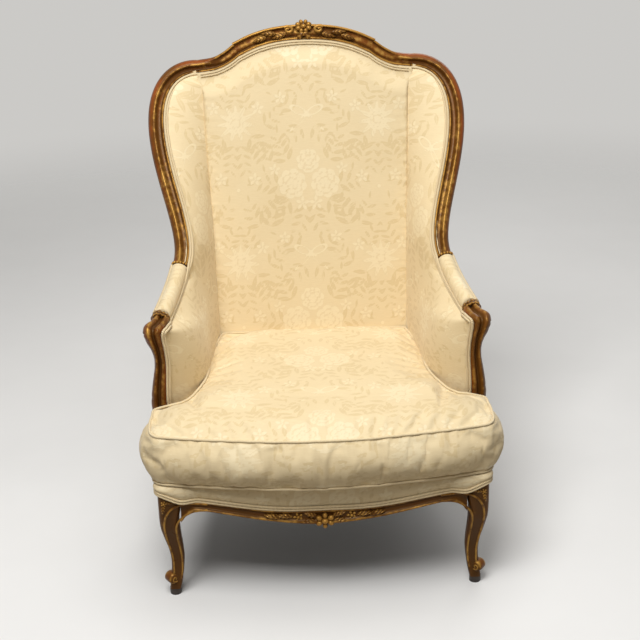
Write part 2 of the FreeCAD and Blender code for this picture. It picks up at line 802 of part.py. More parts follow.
def seat_deck_pad():
    low = RAIL_TOP + 2 * WEB_THICK + CLOTH_THICK
    block = prism(seat_plan(RAIL_THICK / 2, low), Vector(0, 0, 60))
    front, rear = -FAR, FAR
    above = polygon_prism([
        Vector(-FAR, front, deck_z(front)),
        Vector(-FAR, rear, deck_z(rear)),
        Vector(-FAR, rear, FAR),
        Vector(-FAR, front, FAR),
    ], Vector(2 * FAR, 0, 0))
    return largest(block.cut(above).cut(both_supports(EDGE_GAP)))


def front_border():
    half = leg_corner().x - FIT
    top = [Vector(-half, 0, RAIL_TOP + 2 * WEB_THICK), Vector(half, 0, RAIL_TOP + 2 * WEB_THICK)]
    bottom = [point + Vector(0, 0, FIT) for point in show_top_points()]
    sheet = front_elevation(top, bottom)
    return largest(plan_strip(SHOW_PROUD - 1, FIT, half, RAIL_TOP - FRONT_DROP, FAR).common(sheet))


def dust_cover(leg):
    z = RAIL_TOP - ARCH_DROP
    sheet = prism(seat_plan(RAIL_THICK + FIT, z), Vector(0, 0, CLOTH_THICK))
    return largest(sheet.cut([leg, mirrored(leg)]))


# Back upholstery

def crest_underside():
    """Lower edge of the crest, from left to right, a clearance below the wood."""
    middle, shoulder = crest_stations()
    right = []
    for point, tangent, width, _ in middle + shoulder[1:]:
        _, inward = section_axes(tangent)
        right.append(point + inward * (width / 2 + FIT))
    left = [Vector(-point.x, point.y, point.z) for point in reversed(right[1:])]
    return left + right


def seam_x(z):
    """Where the inside back meets the inside wing."""
    share = (z - RAIL_TOP) / CREST_JOINT_RISE
    return SEAM_FOOT_X + (SEAM_TOP_X - SEAM_FOOT_X) * share


def pad_front_y(z):
    """Front face of the inside back pad: upright behind the cushion, then raked."""
    knee = RAIL_TOP + BACK_PAD_FOOT_RISE
    top = RAIL_TOP + CREST_MID_RISE
    if z <= knee:
        return BACK_PAD_FOOT_Y
    top_y = face_y(top) - BACK_PAD_TOP_THICK
    return BACK_PAD_FOOT_Y + (top_y - BACK_PAD_FOOT_Y) * (z - knee) / (top - knee)


def back_outline(half_low, half_high, low):
    """Upright sheet of the back's front view, under the crest."""
    top = [Vector(point.x, 0, point.z) for point in crest_underside()]
    inner = [point for point in top if abs(point.x) < half_high - 5]
    end_z = top[0].z
    corners = [Vector(-half_high, 0, end_z), Vector(half_high, 0, end_z)]
    edge = spline(corners[:1] + inner + corners[1:])
    foot = [Vector(half_low, 0, low), Vector(-half_low, 0, low)]
    return prism([
        edge,
        line(corners[1], foot[0]),
        line(foot[0], foot[1]),
        line(foot[1], corners[0]),
    ], Vector(0, FAR, 0))


def back_layer(front_offset, thick, half_low, half_high, low):
    """Thin sheet parallel to the back frame, under the crest."""
    sheet = box(Vector(-FAR, face_y(RAIL_TOP) + front_offset, -FAR),
                Vector(FAR, face_y(RAIL_TOP) + front_offset + thick, 2 * FAR))
    return largest(lean(sheet).common(back_outline(half_low, half_high, low)))


def back_webbing():
    """Straps on the front of the back frame, between the stiles and from rail to crest."""
    front = face_y(RAIL_TOP)
    low = RAIL_TOP + LOWER_BACK_RAIL_RISE
    span = CREST_JOINT_RISE - LOWER_BACK_RAIL_RISE - 40
    straps = []
    for step in range(4):
        z = low + 90 + step * (span - 120) / 3
        half = STILE_X
        straps.append(lean(box(Vector(-half, front - WEB_THICK, z - WEB_WIDTH / 2),
                               Vector(half, front, z + WEB_WIDTH / 2))))
    for x in (-BACK_WEB_PITCH, 0, BACK_WEB_PITCH):
        straps.append(lean(box(Vector(x - WEB_WIDTH / 2, front - 2 * WEB_THICK, low),
                               Vector(x + WEB_WIDTH / 2, front - WEB_THICK, low + span))))
    return straps


def back_hessian():
    low = RAIL_TOP + LOWER_BACK_RAIL_RISE + 4
    return back_layer(-2 * WEB_THICK - CLOTH_THICK, CLOTH_THICK, SEAM_FOOT_X - 6, SEAM_TOP_X - 6, low)


def inside_back_pad():
    low = deck_z(BACK_PAD_FOOT_Y) + FIT
    top = RAIL_TOP + CREST_MID_RISE
    knee = RAIL_TOP + BACK_PAD_FOOT_RISE
    rear_offset = 2 * WEB_THICK + CLOTH_THICK + FIT
    waist = (knee + top) / 2
    swell = Vector(0, -BACK_SWELL, 0)
    front = [
        Vector(0, BACK_PAD_FOOT_Y, knee),
        Vector(0, pad_front_y(waist), waist) + swell,
        Vector(0, pad_front_y(top), top),
    ]
    foot = Vector(0, BACK_PAD_FOOT_Y, low)
    rear_low = Vector(0, face_y(low) - rear_offset, low)
    rear_top = Vector(0, face_y(top) - rear_offset, top)
    side = prism([
        line(foot, front[0]),
        spline(front),
        line(front[-1], rear_top),
        line(rear_top, rear_low),
        line(rear_low, foot),
    ], Vector(FAR, 0, 0))
    side.translate(Vector(-FAR / 2, 0, 0))
    return largest(side.common(back_outline(seam_x(low), seam_x(crest_joint().z), low)))


def outside_back_panel():
    low = RAIL_TOP + FIT
    half = STILE_X + 4
    return back_layer(WOOD_DEPTH + FIT, PANEL_THICK, half, half, low)


# Wings and arms upholstery

def station_point(station, across, behind):
    """Point of a show-wood section, beyond its inner edge and behind its face."""
    point, tangent, width, _ = station
    face, inward = section_axes(tangent)
    return point + inward * (width / 2 + across) - face * behind


def side_ribs():
    """Show-wood sections round the inside of a side, each with the height where its rib leaves the back seam.

    The sag pulls a rib towards the sitter, so that the arm clears the cushion, then turns out to the support.
    """
    deck = deck_z(FRONT_Y) + RIB_LIFT
    rise = arm_rear_end().z - deck
    ribs = []
    for station in wing_stations(2 * WING_STEPS)[2:]:
        ribs.append((station, max(station[0].z - BACK_PAD_TOP_THICK, deck + rise), WING_PAD_SAG))
    lower = arm_stations(ARM_PAD_START, ARM_PAD_END, steps=6)[1:]
    lower += support_stations()[2:-1]
    for index, station in enumerate(lower, 1):
        share = 1 - index / len(lower)
        ribs.append((station, deck + rise * share, SIDE_PAD_SAG * min(1.0, index / 6)))
    return ribs


def rib_wire(seam, edge_near, edge_far, sag, near, far):
    """Closed section of a side sheet from the back seam to the show-wood, thinner at the seam."""
    run = edge_near - seam
    across = Vector(-run.y, run.x, 0).normalize()
    right = Vector(1, 0, 0)
    inner = [seam + right * (near * SEAM_SQUEEZE)]
    outer = [seam + right * (far * SEAM_SQUEEZE)]
    for share, pull in RIB_BENDS:
        bend = seam + run * share - across * (sag * pull)
        inner.append(bend + across * near)
        outer.append(bend + across * far)
    points = inner + [edge_near, edge_far] + list(reversed(outer))
    return Part.makePolygon(points + points[:1])


def ribbed(wires):
    """Sheet stretched straight from rib to rib, from the lowest one up."""
    return Part.makeLoft(list(reversed(wires)), True, True)


def side_gap(station):
    """Room between a side's coverings and the show-wood, covered by the trimming."""
    return SUPPORT_GAP if station[3] == SUPPORT_DEPTH else SIDE_GAP


def inside_sheet(near, far):
    """Sheet from the back seam to the inner edge of the show-wood, between two depths behind its face."""
    wires = []
    ribs = side_ribs()
    for index, (station, z, sag) in enumerate(ribs):
        behind = SIDE_EDGE_DEPTH
        if station[3] == WOOD_DEPTH and station[0].y < arm_rear_end().y - 1:
            behind += ARM_PAD_HEIGHT * 0.6
        gap = side_gap(station)
        edge_near = station_point(station, gap, behind + near * SIDE_EDGE_SQUEEZE)
        edge_far = station_point(station, gap, behind + far * SIDE_EDGE_SQUEEZE)
        if index in (0, len(ribs) - 1):
            z = edge_near.z
            edge_far = flattened(edge_far, z)
        seam = Vector(seam_x(z) + EDGE_GAP, pad_front_y(z) - EDGE_GAP, z)
        wires.append(rib_wire(seam, edge_near, edge_far, sag, near, far))
    return ribbed(wires)


def inside_side_pad():
    return inside_sheet(0.0, SIDE_PAD_THICK)


def side_hessian():
    near = SIDE_PAD_THICK + SHEET_GAP
    return inside_sheet(near, near + CLOTH_THICK)


def outside_panel():
    """Panel from the stile's outer face to the back of the show-wood, down to the seat rail."""
    x = STILE_X + STILE_WIDTH / 2 + EDGE_GAP
    wing = wing_stations(2 * WING_STEPS)[4:]
    stations = wing + arm_stations(0.0, ARM_PAD_END, steps=8)[1:] + support_stations()[2:]
    low = RAIL_TOP + FIT
    rise = stations[0][0].z - WOOD_DEPTH - low
    wires = []
    for index, station in enumerate(stations):
        behind = station[3] + side_gap(station)
        middle = -station[2] / 2
        edge_near = station_point(station, middle - PANEL_THICK, behind)
        edge_far = station_point(station, middle - 2 * PANEL_THICK, behind)
        z = low + rise * (1 - index / (len(stations) - 1)) ** 1.15
        if index == 0:
            z = edge_near.z - PANEL_THICK
        if index in (0, len(stations) - 1):
            edge_near = flattened(edge_near, z)
            edge_far = flattened(edge_far, z)
        seam = Vector(x, face_y(z) + 6, z)
        bow = -2.0 if index < len(wing) else -SIDE_BOW * 0.8
        wires.append(rib_wire(seam, edge_near, edge_far, bow, 0.0, PANEL_THICK))
    return ribbed(wires)


def arm_pad():
    """Half-round pad on the lowered seat of the arm."""
    sections = []
    half = ARM_WIDTH / 2 - 0.5
    ends = 0.006
    for point, tangent, _, _ in arm_stations(ARM_PAD_START + ends, ARM_PAD_END - ends, steps=6):
        face, inward = section_axes(tangent)
        low = point - face * (ARM_PAD_HEIGHT - 1.5 * EDGE_GAP)
        crown = ARM_PAD_HEIGHT + 3
        points = []
        for step in range(7):
            turn = math.pi * step / 6
            points.append(low + inward * (half * math.cos(turn)) + face * (crown * math.sin(turn)))
        sections.append(Part.makePolygon(points + points[:1]))
    return Part.makeLoft(sections, True)


# Loose cushion

def cushion_outline(inset):
    """Right half of the T-shaped outline: its side, then the ear's corners and the middle of the front."""
    rear_y = BACK_PAD_FOOT_Y - CUSHION_GAP - inset
    notch_y = support_top().y - CUSHION_NOTCH - inset
    ear_x = CUSHION_EAR_X - inset
    front_y = FRONT_Y - CUSHION_OVERHANG + inset
    seam = Vector(seam_x(RAIL_TOP), BACK_PAD_FOOT_Y, 0)
    edge = flattened(station_point(support_stations()[-2], 0, SUPPORT_DEPTH / 2), 0)
    run = edge - seam
    across = Vector(-run.y, run.x, 0).normalize()
    side = [Vector(seam.x - CUSHION_GAP - inset, rear_y, 0)]
    for share, pull in RIB_BENDS:
        side.append(seam + run * share - across * (SIDE_PAD_SAG * pull + CUSHION_GAP + inset))
    side.append(Vector(edge.x - 8, notch_y, 0))
    ear = Vector(ear_x, notch_y, 0)
    nose = Vector(ear_x - CUSHION_EAR_CUT.x, front_y + CUSHION_FRONT_BOW, 0)
    ear_front = nose + CUSHION_EAR_CUT
    return side, ear, ear_front, nose, Vector(0, front_y, 0)


def cushion_solid(inset):
    side, ear, ear_front, nose, middle = cushion_outline(inset)

    def flip(point):
        return Vector(-point.x, point.y, point.z)

    left_side = [flip(point) for point in reversed(side)]
    edges = [
        line(left_side[-1], side[0]),
        spline(side),
        line(side[-1], ear),
        line(ear, ear_front),
        line(ear_front, nose),
        arc(nose, middle, flip(nose)),
        line(flip(nose), flip(ear_front)),
        line(flip(ear_front), flip(ear)),
        line(flip(ear), left_side[0]),
        spline(left_side),
    ]
    solid = prism(edges, Vector(0, 0, CUSHION_HEIGHT - 2 * inset))
    solid.translate(Vector(0, 0, deck_z(FRONT_Y) + FIT + inset))
    solid.rotate(Vector(0, FRONT_Y, deck_z(FRONT_Y)), Vector(1, 0, 0), -math.degrees(DECK_SLOPE))
    return solid


def cushion_cover():
    return cushion_solid(0.0).cut(cushion_solid(CUSHION_COVER_THICK))


def cushion_filling():
    return cushion_solid(CUSHION_COVER_THICK + FIT)


# Nodes

def right_side_pieces():
    return {
        "wing_rail": wing_rail(),
        "arm": arm(),
        "arm_support": arm_support(),
        "side_seat_rail": side_seat_rail(),
        "front_leg": front_leg(),
        "rear_stile": rear_stile(),
        "stuffing_rail": stuffing_rail(),
        "side_hessian": side_hessian(),
        "inside_wing_arm_pad": inside_side_pad(),
        "outside_panel": outside_panel(),
        "arm_pad": arm_pad(),
    }


def all_nodes():
    side = right_side_pieces()
    front_rail = front_seat_rail()
    rear_rail = rear_seat_rail()
    dowels = peg_solids(PEG_RADIUS, PEG_LENGTH)
    nodes = {
        "crest_rail": [crest_rail()],
        "front_seat_rail": [front_rail],
        "rear_seat_rail": [rear_rail],
        "lower_back_rail": [lower_back_rail()],
        "foot_pads": foot_pads(),
        "corner_blocks": corner_blocks(front_rail, side["side_seat_rail"], side["front_leg"], rear_rail,
                                       side["rear_stile"]),
        "frame_dowels": dowels + [mirrored(peg) for peg in dowels],
        "seat_webbing_lengthwise": webbing_front_to_back(),
        "seat_webbing_crosswise": webbing_side_to_side(),
        "seat_hessian": [seat_hessian()],
        "seat_deck_pad": [seat_deck_pad()],
        "front_border": [front_border()],
        "dust_cover": [dust_cover(side["front_leg"])],
        "back_webbing": back_webbing(),
        "back_hessian": [back_hessian()],
        "inside_back_pad": [inside_back_pad()],
        "outside_back_panel": [outside_back_panel()],
        "cushion_filling": [cushion_filling()],
        "cushion_cover": [largest(cushion_cover())],
    }
    for name, solid in side.items():
        nodes["right_" + name] = [solid]
        nodes["left_" + name] = [mirrored(solid)]
    return nodes


def main():
    os.makedirs("parts", exist_ok=True)
    for name, solids in all_nodes().items():
        shape = solids[0] if len(solids) == 1 else Part.makeCompound(solids)
        shape.exportStep(os.path.join("parts", name + ".step"))


if __name__ == "__main__":
    main()
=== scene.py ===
import json
import math

import bpy
import numpy as np
from mathutils import Matrix, Vector, kdtree


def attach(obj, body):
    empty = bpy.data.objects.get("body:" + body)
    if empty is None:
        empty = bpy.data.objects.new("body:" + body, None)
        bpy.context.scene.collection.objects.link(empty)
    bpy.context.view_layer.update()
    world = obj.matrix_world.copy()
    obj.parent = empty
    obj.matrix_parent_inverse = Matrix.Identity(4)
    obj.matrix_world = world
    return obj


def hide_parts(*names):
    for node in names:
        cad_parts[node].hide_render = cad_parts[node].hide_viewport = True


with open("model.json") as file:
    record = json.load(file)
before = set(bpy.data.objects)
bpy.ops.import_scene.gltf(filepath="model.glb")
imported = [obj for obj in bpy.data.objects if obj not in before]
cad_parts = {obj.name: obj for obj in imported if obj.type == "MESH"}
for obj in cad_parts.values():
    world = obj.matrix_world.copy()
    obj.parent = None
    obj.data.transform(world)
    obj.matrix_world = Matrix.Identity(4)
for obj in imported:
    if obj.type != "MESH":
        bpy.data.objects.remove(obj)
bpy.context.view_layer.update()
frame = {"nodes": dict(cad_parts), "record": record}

# Frame sizes in metres, the same as the part's own
RAKE = math.radians(10)
RAIL_TOP = 0.240
STILE_X, STILE_Y, STILE_WIDTH = 0.230, 0.238, 0.034
WOOD_DEPTH = 0.028
SEAT_HALF_WIDTH = 0.337
FRONT_Y = -0.344
FRONT_BOW = 0.020
LEG_BLOCK = 0.046
LEG_CORNER_X = SEAT_HALF_WIDTH - LEG_BLOCK
CREST_MID_RISE = 0.814
CREST_KINK = (0.157, 0.779)
CREST_JOINT = (0.246, 0.744)
CREST_WIDTH, CREST_END_WIDTH = 0.034, 0.029
WING_WIDTH, ARM_WIDTH = 0.036, 0.033
SUPPORT_DEPTH = 0.026
ARM_REAR_END = np.array((0.291, 0.0793, RAIL_TOP + 0.370))
ARM_FALL = 0.050
SUPPORT_TOP = np.array((0.333, -0.190, RAIL_TOP + 0.287))
ARM_PAD_START, ARM_PAD_END, ARM_PAD_HEIGHT = 0.06, 0.80, 0.014
DECK_SLOPE = math.radians(1.5)
DECK_FRONT_RISE = 0.028
PAD_FOOT_Y, PAD_FOOT_RISE, PAD_TOP_THICK = 0.182, 0.142, 0.012
SEAM_FOOT_X, SEAM_TOP_X = 0.218, 0.234

# Sizes of the visible shapes only
DECK_ROLL = 0.005
TOP_EDGE = 0.0075
SIDE_SAG = 0.038
RIB_BENDS = ((0.0, 0.0), (0.22, 0.22), (0.45, 0.58), (0.62, 0.86), (0.76, 0.93), (0.88, 0.62), (1.0, 0.0))
CUSHION_HEIGHT = 0.122
CUSHION_TOP_DRAW, CUSHION_LOW_DRAW, CUSHION_BULGE = 0.007, 0.012, 0.017
CUSHION_EAR_RISE, CUSHION_REAR_RISE = 0.015, 0.008
# Face line of the elbow and the arm's support down to the seat rail: x, y, rise above the rail, and width
ELBOW = (
    (0.3305, -0.1760, 0.3220, 0.0435), (0.3350, -0.1900, 0.3190, 0.0410), (0.3355, -0.1985, 0.3080, 0.0370),
    (0.3325, -0.1990, 0.2930, 0.0320), (0.3282, -0.1950, 0.2720, 0.0278), (0.3264, -0.1890, 0.2490, 0.0256),
    (0.3272, -0.1850, 0.2270, 0.0268), (0.3297, -0.1840, 0.2050, 0.0290), (0.3322, -0.1850, 0.1820, 0.0314),
    (0.3336, -0.1865, 0.1600, 0.0330), (0.3330, -0.1870, 0.1370, 0.0330), (0.3240, -0.1890, 0.0700, 0.0330),
    (0.3109, -0.1920, 0.0000, 0.0330),
)

# Directions
BACK_FACE = np.array((0.0, -math.cos(RAKE), math.sin(RAKE)))
BACK_UP = np.array((0.0, math.sin(RAKE), math.cos(RAKE)))
ELBOW_FACE = np.array((0.0, -math.sqrt(0.5), math.sqrt(0.5)))
RIGHT = np.array((1.0, 0.0, 0.0))
FRONT = np.array((0.0, -1.0, 0.0))
UP = np.array((0.0, 0.0, 1.0))

# Moulding sections from the outer edge over the face to the inner edge: place across the width, depth
# behind the face, gilding, red ground, and dirt with painted shade in the hollows and on the backs
MOULDING = (
    (-0.50, 1.00, 0.55, 0.1, 0.5), (-0.50, 0.75, 0.65, 0.2, 0.3), (-0.50, 0.55, 0.60, 0.3, 0.2),
    (-0.46, 0.38, 0.35, 0.7, 0.1), (-0.38, 0.20, 0.20, 1.0, 0.0), (-0.28, 0.09, 0.30, 0.9, 0.0),
    (-0.20, 0.05, 0.50, 0.5, 0.2), (-0.12, 0.00, 0.75, 0.2, 0.0), (-0.05, 0.05, 0.60, 0.0, 0.1),
    (0.02, 0.17, 0.40, 0.0, 0.4), (0.10, 0.27, 0.40, 0.3, 0.4), (0.20, 0.30, 0.45, 0.3, 0.3),
    (0.28, 0.29, 0.30, 0.0, 0.6), (0.34, 0.20, 0.50, 0.0, 0.2), (0.40, 0.12, 0.80, 0.0, 0.0),
    (0.46, 0.14, 0.70, 0.0, 0.0), (0.50, 0.24, 0.50, 0.0, 0.4), (0.50, 0.55, 0.20, 0.0, 0.7),
    (0.50, 1.00, 0.10, 0.0, 0.5),
)
CREST_MOULDING = (
    (-0.50, 1.00, 0.4, 0.1, 0.3), (-0.50, 0.60, 0.5, 0.2, 0.1), (-0.50, 0.22, 0.7, 0.1, 0.0),
    (-0.46, 0.08, 1.0, 0.0, 0.0), (-0.38, 0.04, 1.0, 0.0, 0.0), (-0.32, 0.12, 0.6, 0.0, 0.3),
    (-0.25, 0.24, 0.3, 0.2, 0.5), (-0.10, 0.26, 0.65, 0.5, 0.0), (0.08, 0.22, 0.70, 0.4, 0.0),
    (0.20, 0.26, 0.3, 0.2, 0.3), (0.28, 0.30, 0.1, 0.0, 0.7), (0.34, 0.20, 0.6, 0.0, 0.2),
    (0.40, 0.12, 1.0, 0.0, 0.0), (0.46, 0.14, 1.0, 0.0, 0.0), (0.50, 0.24, 0.5, 0.0, 0.4),
    (0.50, 0.55, 0.2, 0.0, 0.6), (0.50, 1.00, 0.1, 0.0, 0.5),
)
TWIN_RIDGE = (
    (-0.50, 1.00, 0.3, 0.1, 0.3), (-0.50, 0.60, 0.4, 0.4, 0.1), (-0.46, 0.35, 0.2, 0.5, 0.2),
    (-0.36, 0.12, 0.45, 0.5, 0.0), (-0.27, 0.02, 0.70, 0.2, 0.0), (-0.15, 0.08, 0.45, 0.3, 0.1),
    (-0.05, 0.26, 0.2, 0.0, 0.7), (0.05, 0.26, 0.2, 0.0, 0.7), (0.14, 0.08, 0.45, 0.3, 0.1),
    (0.26, 0.02, 0.65, 0.2, 0.0), (0.38, 0.10, 0.45, 0.6, 0.0), (0.46, 0.26, 0.2, 1.0, 0.1),
    (0.50, 0.50, 0.2, 0.3, 0.4), (0.50, 1.00, 0.1, 0.0, 0.5),
)
# Looks that each point carries: gilding, red ground, and dirt with painted shade
LOOKS = ("gild", "bole", "dirt")
SHARP_ANGLE = math.radians(50)
# A direction that no tube runs along
TUBE_FACING = np.array((0.31, -0.92, 0.24))


# Curves and frames

def unit(vector):
    return vector / np.linalg.norm(vector, axis=-1, keepdims=True)


def face_y(z):
    return STILE_Y - WOOD_DEPTH / 2 + (z - RAIL_TOP) * math.tan(RAKE)


def bezier(points, t):
    rows = [np.outer(np.ones_like(t), point) for point in points]
    while len(rows) > 1:
        rows = [a + (b - a) * t[:, None] for a, b in zip(rows, rows[1:])]
    return rows[0]


def bezier_tangent(points, t):
    return unit(bezier([b - a for a, b in zip(points, points[1:])], t))


def smooth(rows, steps):
    """Curve through rows of numbers, with the given steps between neighbours."""
    rows = np.asarray(rows, float)
    padded = np.vstack([2 * rows[0] - rows[1], rows, 2 * rows[-1] - rows[-2]])
    t = np.linspace(0, 1, steps, endpoint=False)[:, None]
    made = []
    for a, b, c, d in zip(padded, padded[1:], padded[2:], padded[3:]):
        made.append(0.5 * (2 * b + (c - a) * t + (2 * a - 5 * b + 4 * c - d) * t ** 2
                           + (3 * b - a - 3 * c + d) * t ** 3))
    return np.vstack(made + [rows[-1:]])


def tangents(points):
    return unit(np.gradient(points, axis=0))


def distance_along(points):
    """Distance of each point from the first one, measured along the path."""
    return np.concatenate([[0], np.cumsum(np.linalg.norm(np.diff(points, axis=0), axis=1))])


def resampled(rows, step):
    """Rows of numbers at even steps along the path that their first three columns draw."""
    along = distance_along(rows[:, :3])
    places = np.linspace(0, along[-1], max(8, int(along[-1] / step)))
    return np.stack([np.interp(places, along, column) for column in rows.T], -1)


def evened(rows, passes):
    """Rows averaged with their neighbours a number of times, while the two ends stay."""
    rows = rows.copy()
    for _ in range(passes):
        rows[1:-1] = (rows[:-2] + rows[1:-1] + rows[2:]) / 3
    return rows


def circle(count):
    """Evenly spaced angles of one turn."""
    return np.linspace(0, 2 * math.pi, count, endpoint=False)


def panel_grid(rows, cols):
    """Share up a panel, from 0 to 1, and place across it, from -1 to 1, of the points of a grid."""
    return np.meshgrid(np.linspace(0, 1, rows), np.linspace(-1, 1, cols), indexing="ij")


def section_axes(tangent, facing=BACK_FACE):
    """Face and inward directions of sections along a bar."""
    face = unit(facing - tangent * np.sum(tangent * facing, -1, keepdims=True))
    return face, np.cross(tangent, face)


def ease(x):
    x = np.clip(x, 0, 1)
    return x * x * (3 - 2 * x)


# Meshes

def grid_faces(rows, cols, wrap=False):
    """Quads of a grid of points, with its last column joined to its first one where it wraps."""
    row = np.arange(rows - 1)[:, None]
    col = np.arange(cols if wrap else cols - 1)[None, :]
    after = (col + 1) % cols
    low, high = row * cols, (row + 1) * cols
    return np.stack([low + col, low + after, high + after, high + col], -1).reshape(-1, 4).tolist()


def shape(verts, faces, **attributes):
    """Points, faces and the values that each point carries for the materials."""
    return {"verts": np.asarray(verts, float).reshape(-1, 3), "faces": faces, "attributes": attributes}


def joined(shapes):
    """One shape made of several; looks that one of them lacks are zero there."""
    names = {name: value.ndim for form in shapes for name, value in form["attributes"].items()}
    verts, faces, attributes, start = [], [], {name: [] for name in names}, 0
    for form in shapes:
        count = len(form["verts"])
        verts.append(form["verts"])
        faces += [[index + start for index in face] for face in form["faces"]]
        for name, ndim in names.items():
            empty = np.zeros(count if ndim == 1 else (count, 3))
            attributes[name].append(form["attributes"].get(name, empty))
        start += count
    merged = {name: np.concatenate(rows) for name, rows in attributes.items()}
    return shape(np.vstack(verts), faces, **merged)


def flipped(form):
    """Mirror image on the other side of the chair."""
    faces = [face[::-1] for face in form["faces"]]
    return shape(form["verts"] * (-1, 1, 1), faces, **form["attributes"])


def new_mesh(name, verts, faces):
    mesh = bpy.data.meshes.new(name)
    mesh.from_pydata(verts, [], faces)
    return mesh


def linked(name, data):
    """New object in the scene."""
    made = bpy.data.objects.new(name, data)
    bpy.context.scene.collection.objects.link(made)
    return made


def piece(name, form, material, body="frame", replaces=()):
    """New object from a shape, riding on a body."""
    mesh = new_mesh(name, form["verts"].tolist(), form["faces"])
    for key, values in form["attributes"].items():
        flat = values.ndim == 1
        layer = mesh.attributes.new(key, "FLOAT" if flat else "FLOAT_VECTOR", "POINT")
        layer.data.foreach_set("value" if flat else "vector", values.astype(np.float32).ravel())
    mesh.materials.append(material)
    mesh.polygons.foreach_set("use_smooth", [True] * len(mesh.polygons))
    mesh.validate()
    mesh.set_sharp_from_angle(angle=SHARP_ANGLE)
    made = linked(name, mesh)
    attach(made, body)
    if replaces:
        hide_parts(*replaces)
    return made


def pair(name, form, material, replaces=""):
    """The right piece and its mirror image on the left."""
    made = []
    for side, side_shape in (("right", form), ("left", flipped(form))):
        nodes = (side + "_" + replaces,) if replaces else ()
        made.append(piece(side + "_" + name, side_shape, material, replaces=nodes))
    return made


def capped(rows, cols):
    """Faces of a closed tube of sections with its two ends closed."""
    last = (rows - 1) * cols
    return grid_faces(rows, cols, True) + [list(range(cols))[::-1], list(range(last, last + cols))]


def section_rows(profile, count=56):
    """Section drawn smoothly with a set number of points, so that sections can be mixed."""
    rows = smooth(profile, 8)
    return rows[np.linspace(0, len(rows) - 1, count).round().astype(int)]


def mixed_rows(first, second, share):
    """Sections that turn from one moulding into another along a bar."""
    first, second = section_rows(first), section_rows(second)
    return first + (second - first) * np.asarray(share)[:, None, None]


def moulded(points, tangent, rows, width, depth, lower=0.0, facing=BACK_FACE):
    """Moulding swept along a bar, with its face lowered where a pad sits on it."""
    count = len(points)
    rows = np.broadcast_to(rows, (count,) + rows.shape[-2:])
    face, inward = section_axes(tangent, facing)
    width, depth, lower = (np.broadcast_to(value, count)[:, None] for value in (width, depth, lower))
    across = rows[..., 0] * width
    behind = lower + rows[..., 1] * (depth - lower)
    verts = points[:, None] + inward[:, None] * across[..., None] - face[:, None] * behind[..., None]
    looks = {name: rows[..., 2 + i].ravel() for i, name in enumerate(LOOKS)}
    return shape(verts, capped(count, rows.shape[1]), **looks)


def tube(points, radius, sides=10, gild=1.0):
    """Round bar along a path."""
    face, inward = section_axes(tangents(points), TUBE_FACING)
    turn = circle(sides)
    radius = np.broadcast_to(radius, len(points))[:, None, None]
    ring = face[:, None] * np.cos(turn)[:, None] + inward[:, None] * np.sin(turn)[:, None]
    total = len(points) * sides
    return shape(points[:, None] + ring * radius, capped(len(points), sides), gild=np.full(total, gild),
                 dirt=np.zeros(total), along=np.repeat(distance_along(points), sides))


def lathe(centre, axis, facing, rows, sides=28):
    """Turned form about an axis: rows of place along it, radius and looks."""
    rows = np.asarray(rows, float)
    axis = unit(np.asarray(axis, float))
    out = unit(facing - axis * (axis @ facing))
    side = np.cross(axis, out)
    turn = circle(sides)
    ring = out * np.cos(turn)[:, None] + side * np.sin(turn)[:, None]
    verts = centre + axis * rows[:, None, :1] + ring[None] * rows[:, None, 1:2]
    looks = {name: np.repeat(rows[:, 2 + i], sides) for i, name in enumerate(LOOKS)}
    return shape(verts, capped(len(rows), sides), **looks)


def ball(centre, right, up, out, radii, rings=7, sides=12):
    """Half-round boss with painted shade at its foot."""
    tilt = np.linspace(-0.25 * math.pi, 0.5 * math.pi, rings)
    turn = circle(sides)
    wide, high = np.cos(tilt)[:, None, None], np.sin(tilt)[:, None, None]
    ring = right * radii[0] * np.cos(turn)[:, None] + up * radii[1] * np.sin(turn)[:, None]
    verts = centre + ring[None] * wide + out * radii[2] * high
    level = np.repeat(ease((tilt + 0.4) / 1.0), sides)
    return shape(verts, capped(rings, sides), gild=level, dirt=1 - level)


def leaf(base, along, out, length, width, lift, lobes=4, rows=19, cols=9):
    """Carved leaf with a straight spine, a raised rib, lobed edges and sunk veins, with painted shade in the
    sunk veins and underneath.
    """
    along = unit(np.asarray(along, float))
    out = unit(out - along * (along @ out))
    share = np.linspace(0, 1, rows)[:, None]
    across = np.linspace(-1, 1, cols)[None, :]
    waves = lobes * 2 * math.pi
    outline = np.sin(math.pi * share ** 0.75) ** 0.8 * (1 + 0.16 * np.sin(waves * share - 0.6))
    half = width / 2 * np.maximum(outline, 0.04)
    body = np.sqrt(np.clip(1 - across * across, 0, 1))
    rib = np.exp(-(across / 0.16) ** 2)
    vein = np.cos(waves * (share - 0.25 * np.abs(across)))
    rise = lift * np.sin(math.pi * np.clip(share, 0.08, 1)) ** 0.5
    height = rise * (0.25 + 0.75 * body + 0.22 * rib + 0.12 * vein * body)
    spine = (base + along * (length * share))[:, None]
    verts = spine + np.cross(out, along) * (half * across)[..., None] + out * height[..., None]
    under = verts - out * (lift * 0.9)
    # Gilding on the rib, the veins' ridges and the edges; painted shade in the sunk veins and over the
    # underside
    level = np.clip(0.45 + 0.5 * rib + 0.5 * vein + 0.3 * (np.abs(across) > 0.8), 0, 1)
    gild = np.concatenate([level.ravel(), np.zeros(rows * cols)])
    verts = np.concatenate([verts.reshape(-1, 3), under.reshape(-1, 3)])
    return shape(verts, sheet_faces(rows, cols), gild=gild, dirt=0.8 * (1 - gild))


def sheet_faces(rows, cols):
    """Faces of a closed sheet: its front grid, the back grid that follows it, and their joined edges."""
    count = rows * cols
    edge = list(range(cols))
    edge += [row * cols + cols - 1 for row in range(1, rows)]
    edge += [(rows - 1) * cols + col for col in range(cols - 2, -1, -1)]
    edge += [row * cols for row in range(rows - 2, 0, -1)]
    front = grid_faces(rows, cols)
    back = [[index + count for index in face[::-1]] for face in front]
    faces = front + back
    for first, second in zip(edge, edge[1:] + edge[:1]):
        faces.append([second, first, first + count, second + count])
    return faces


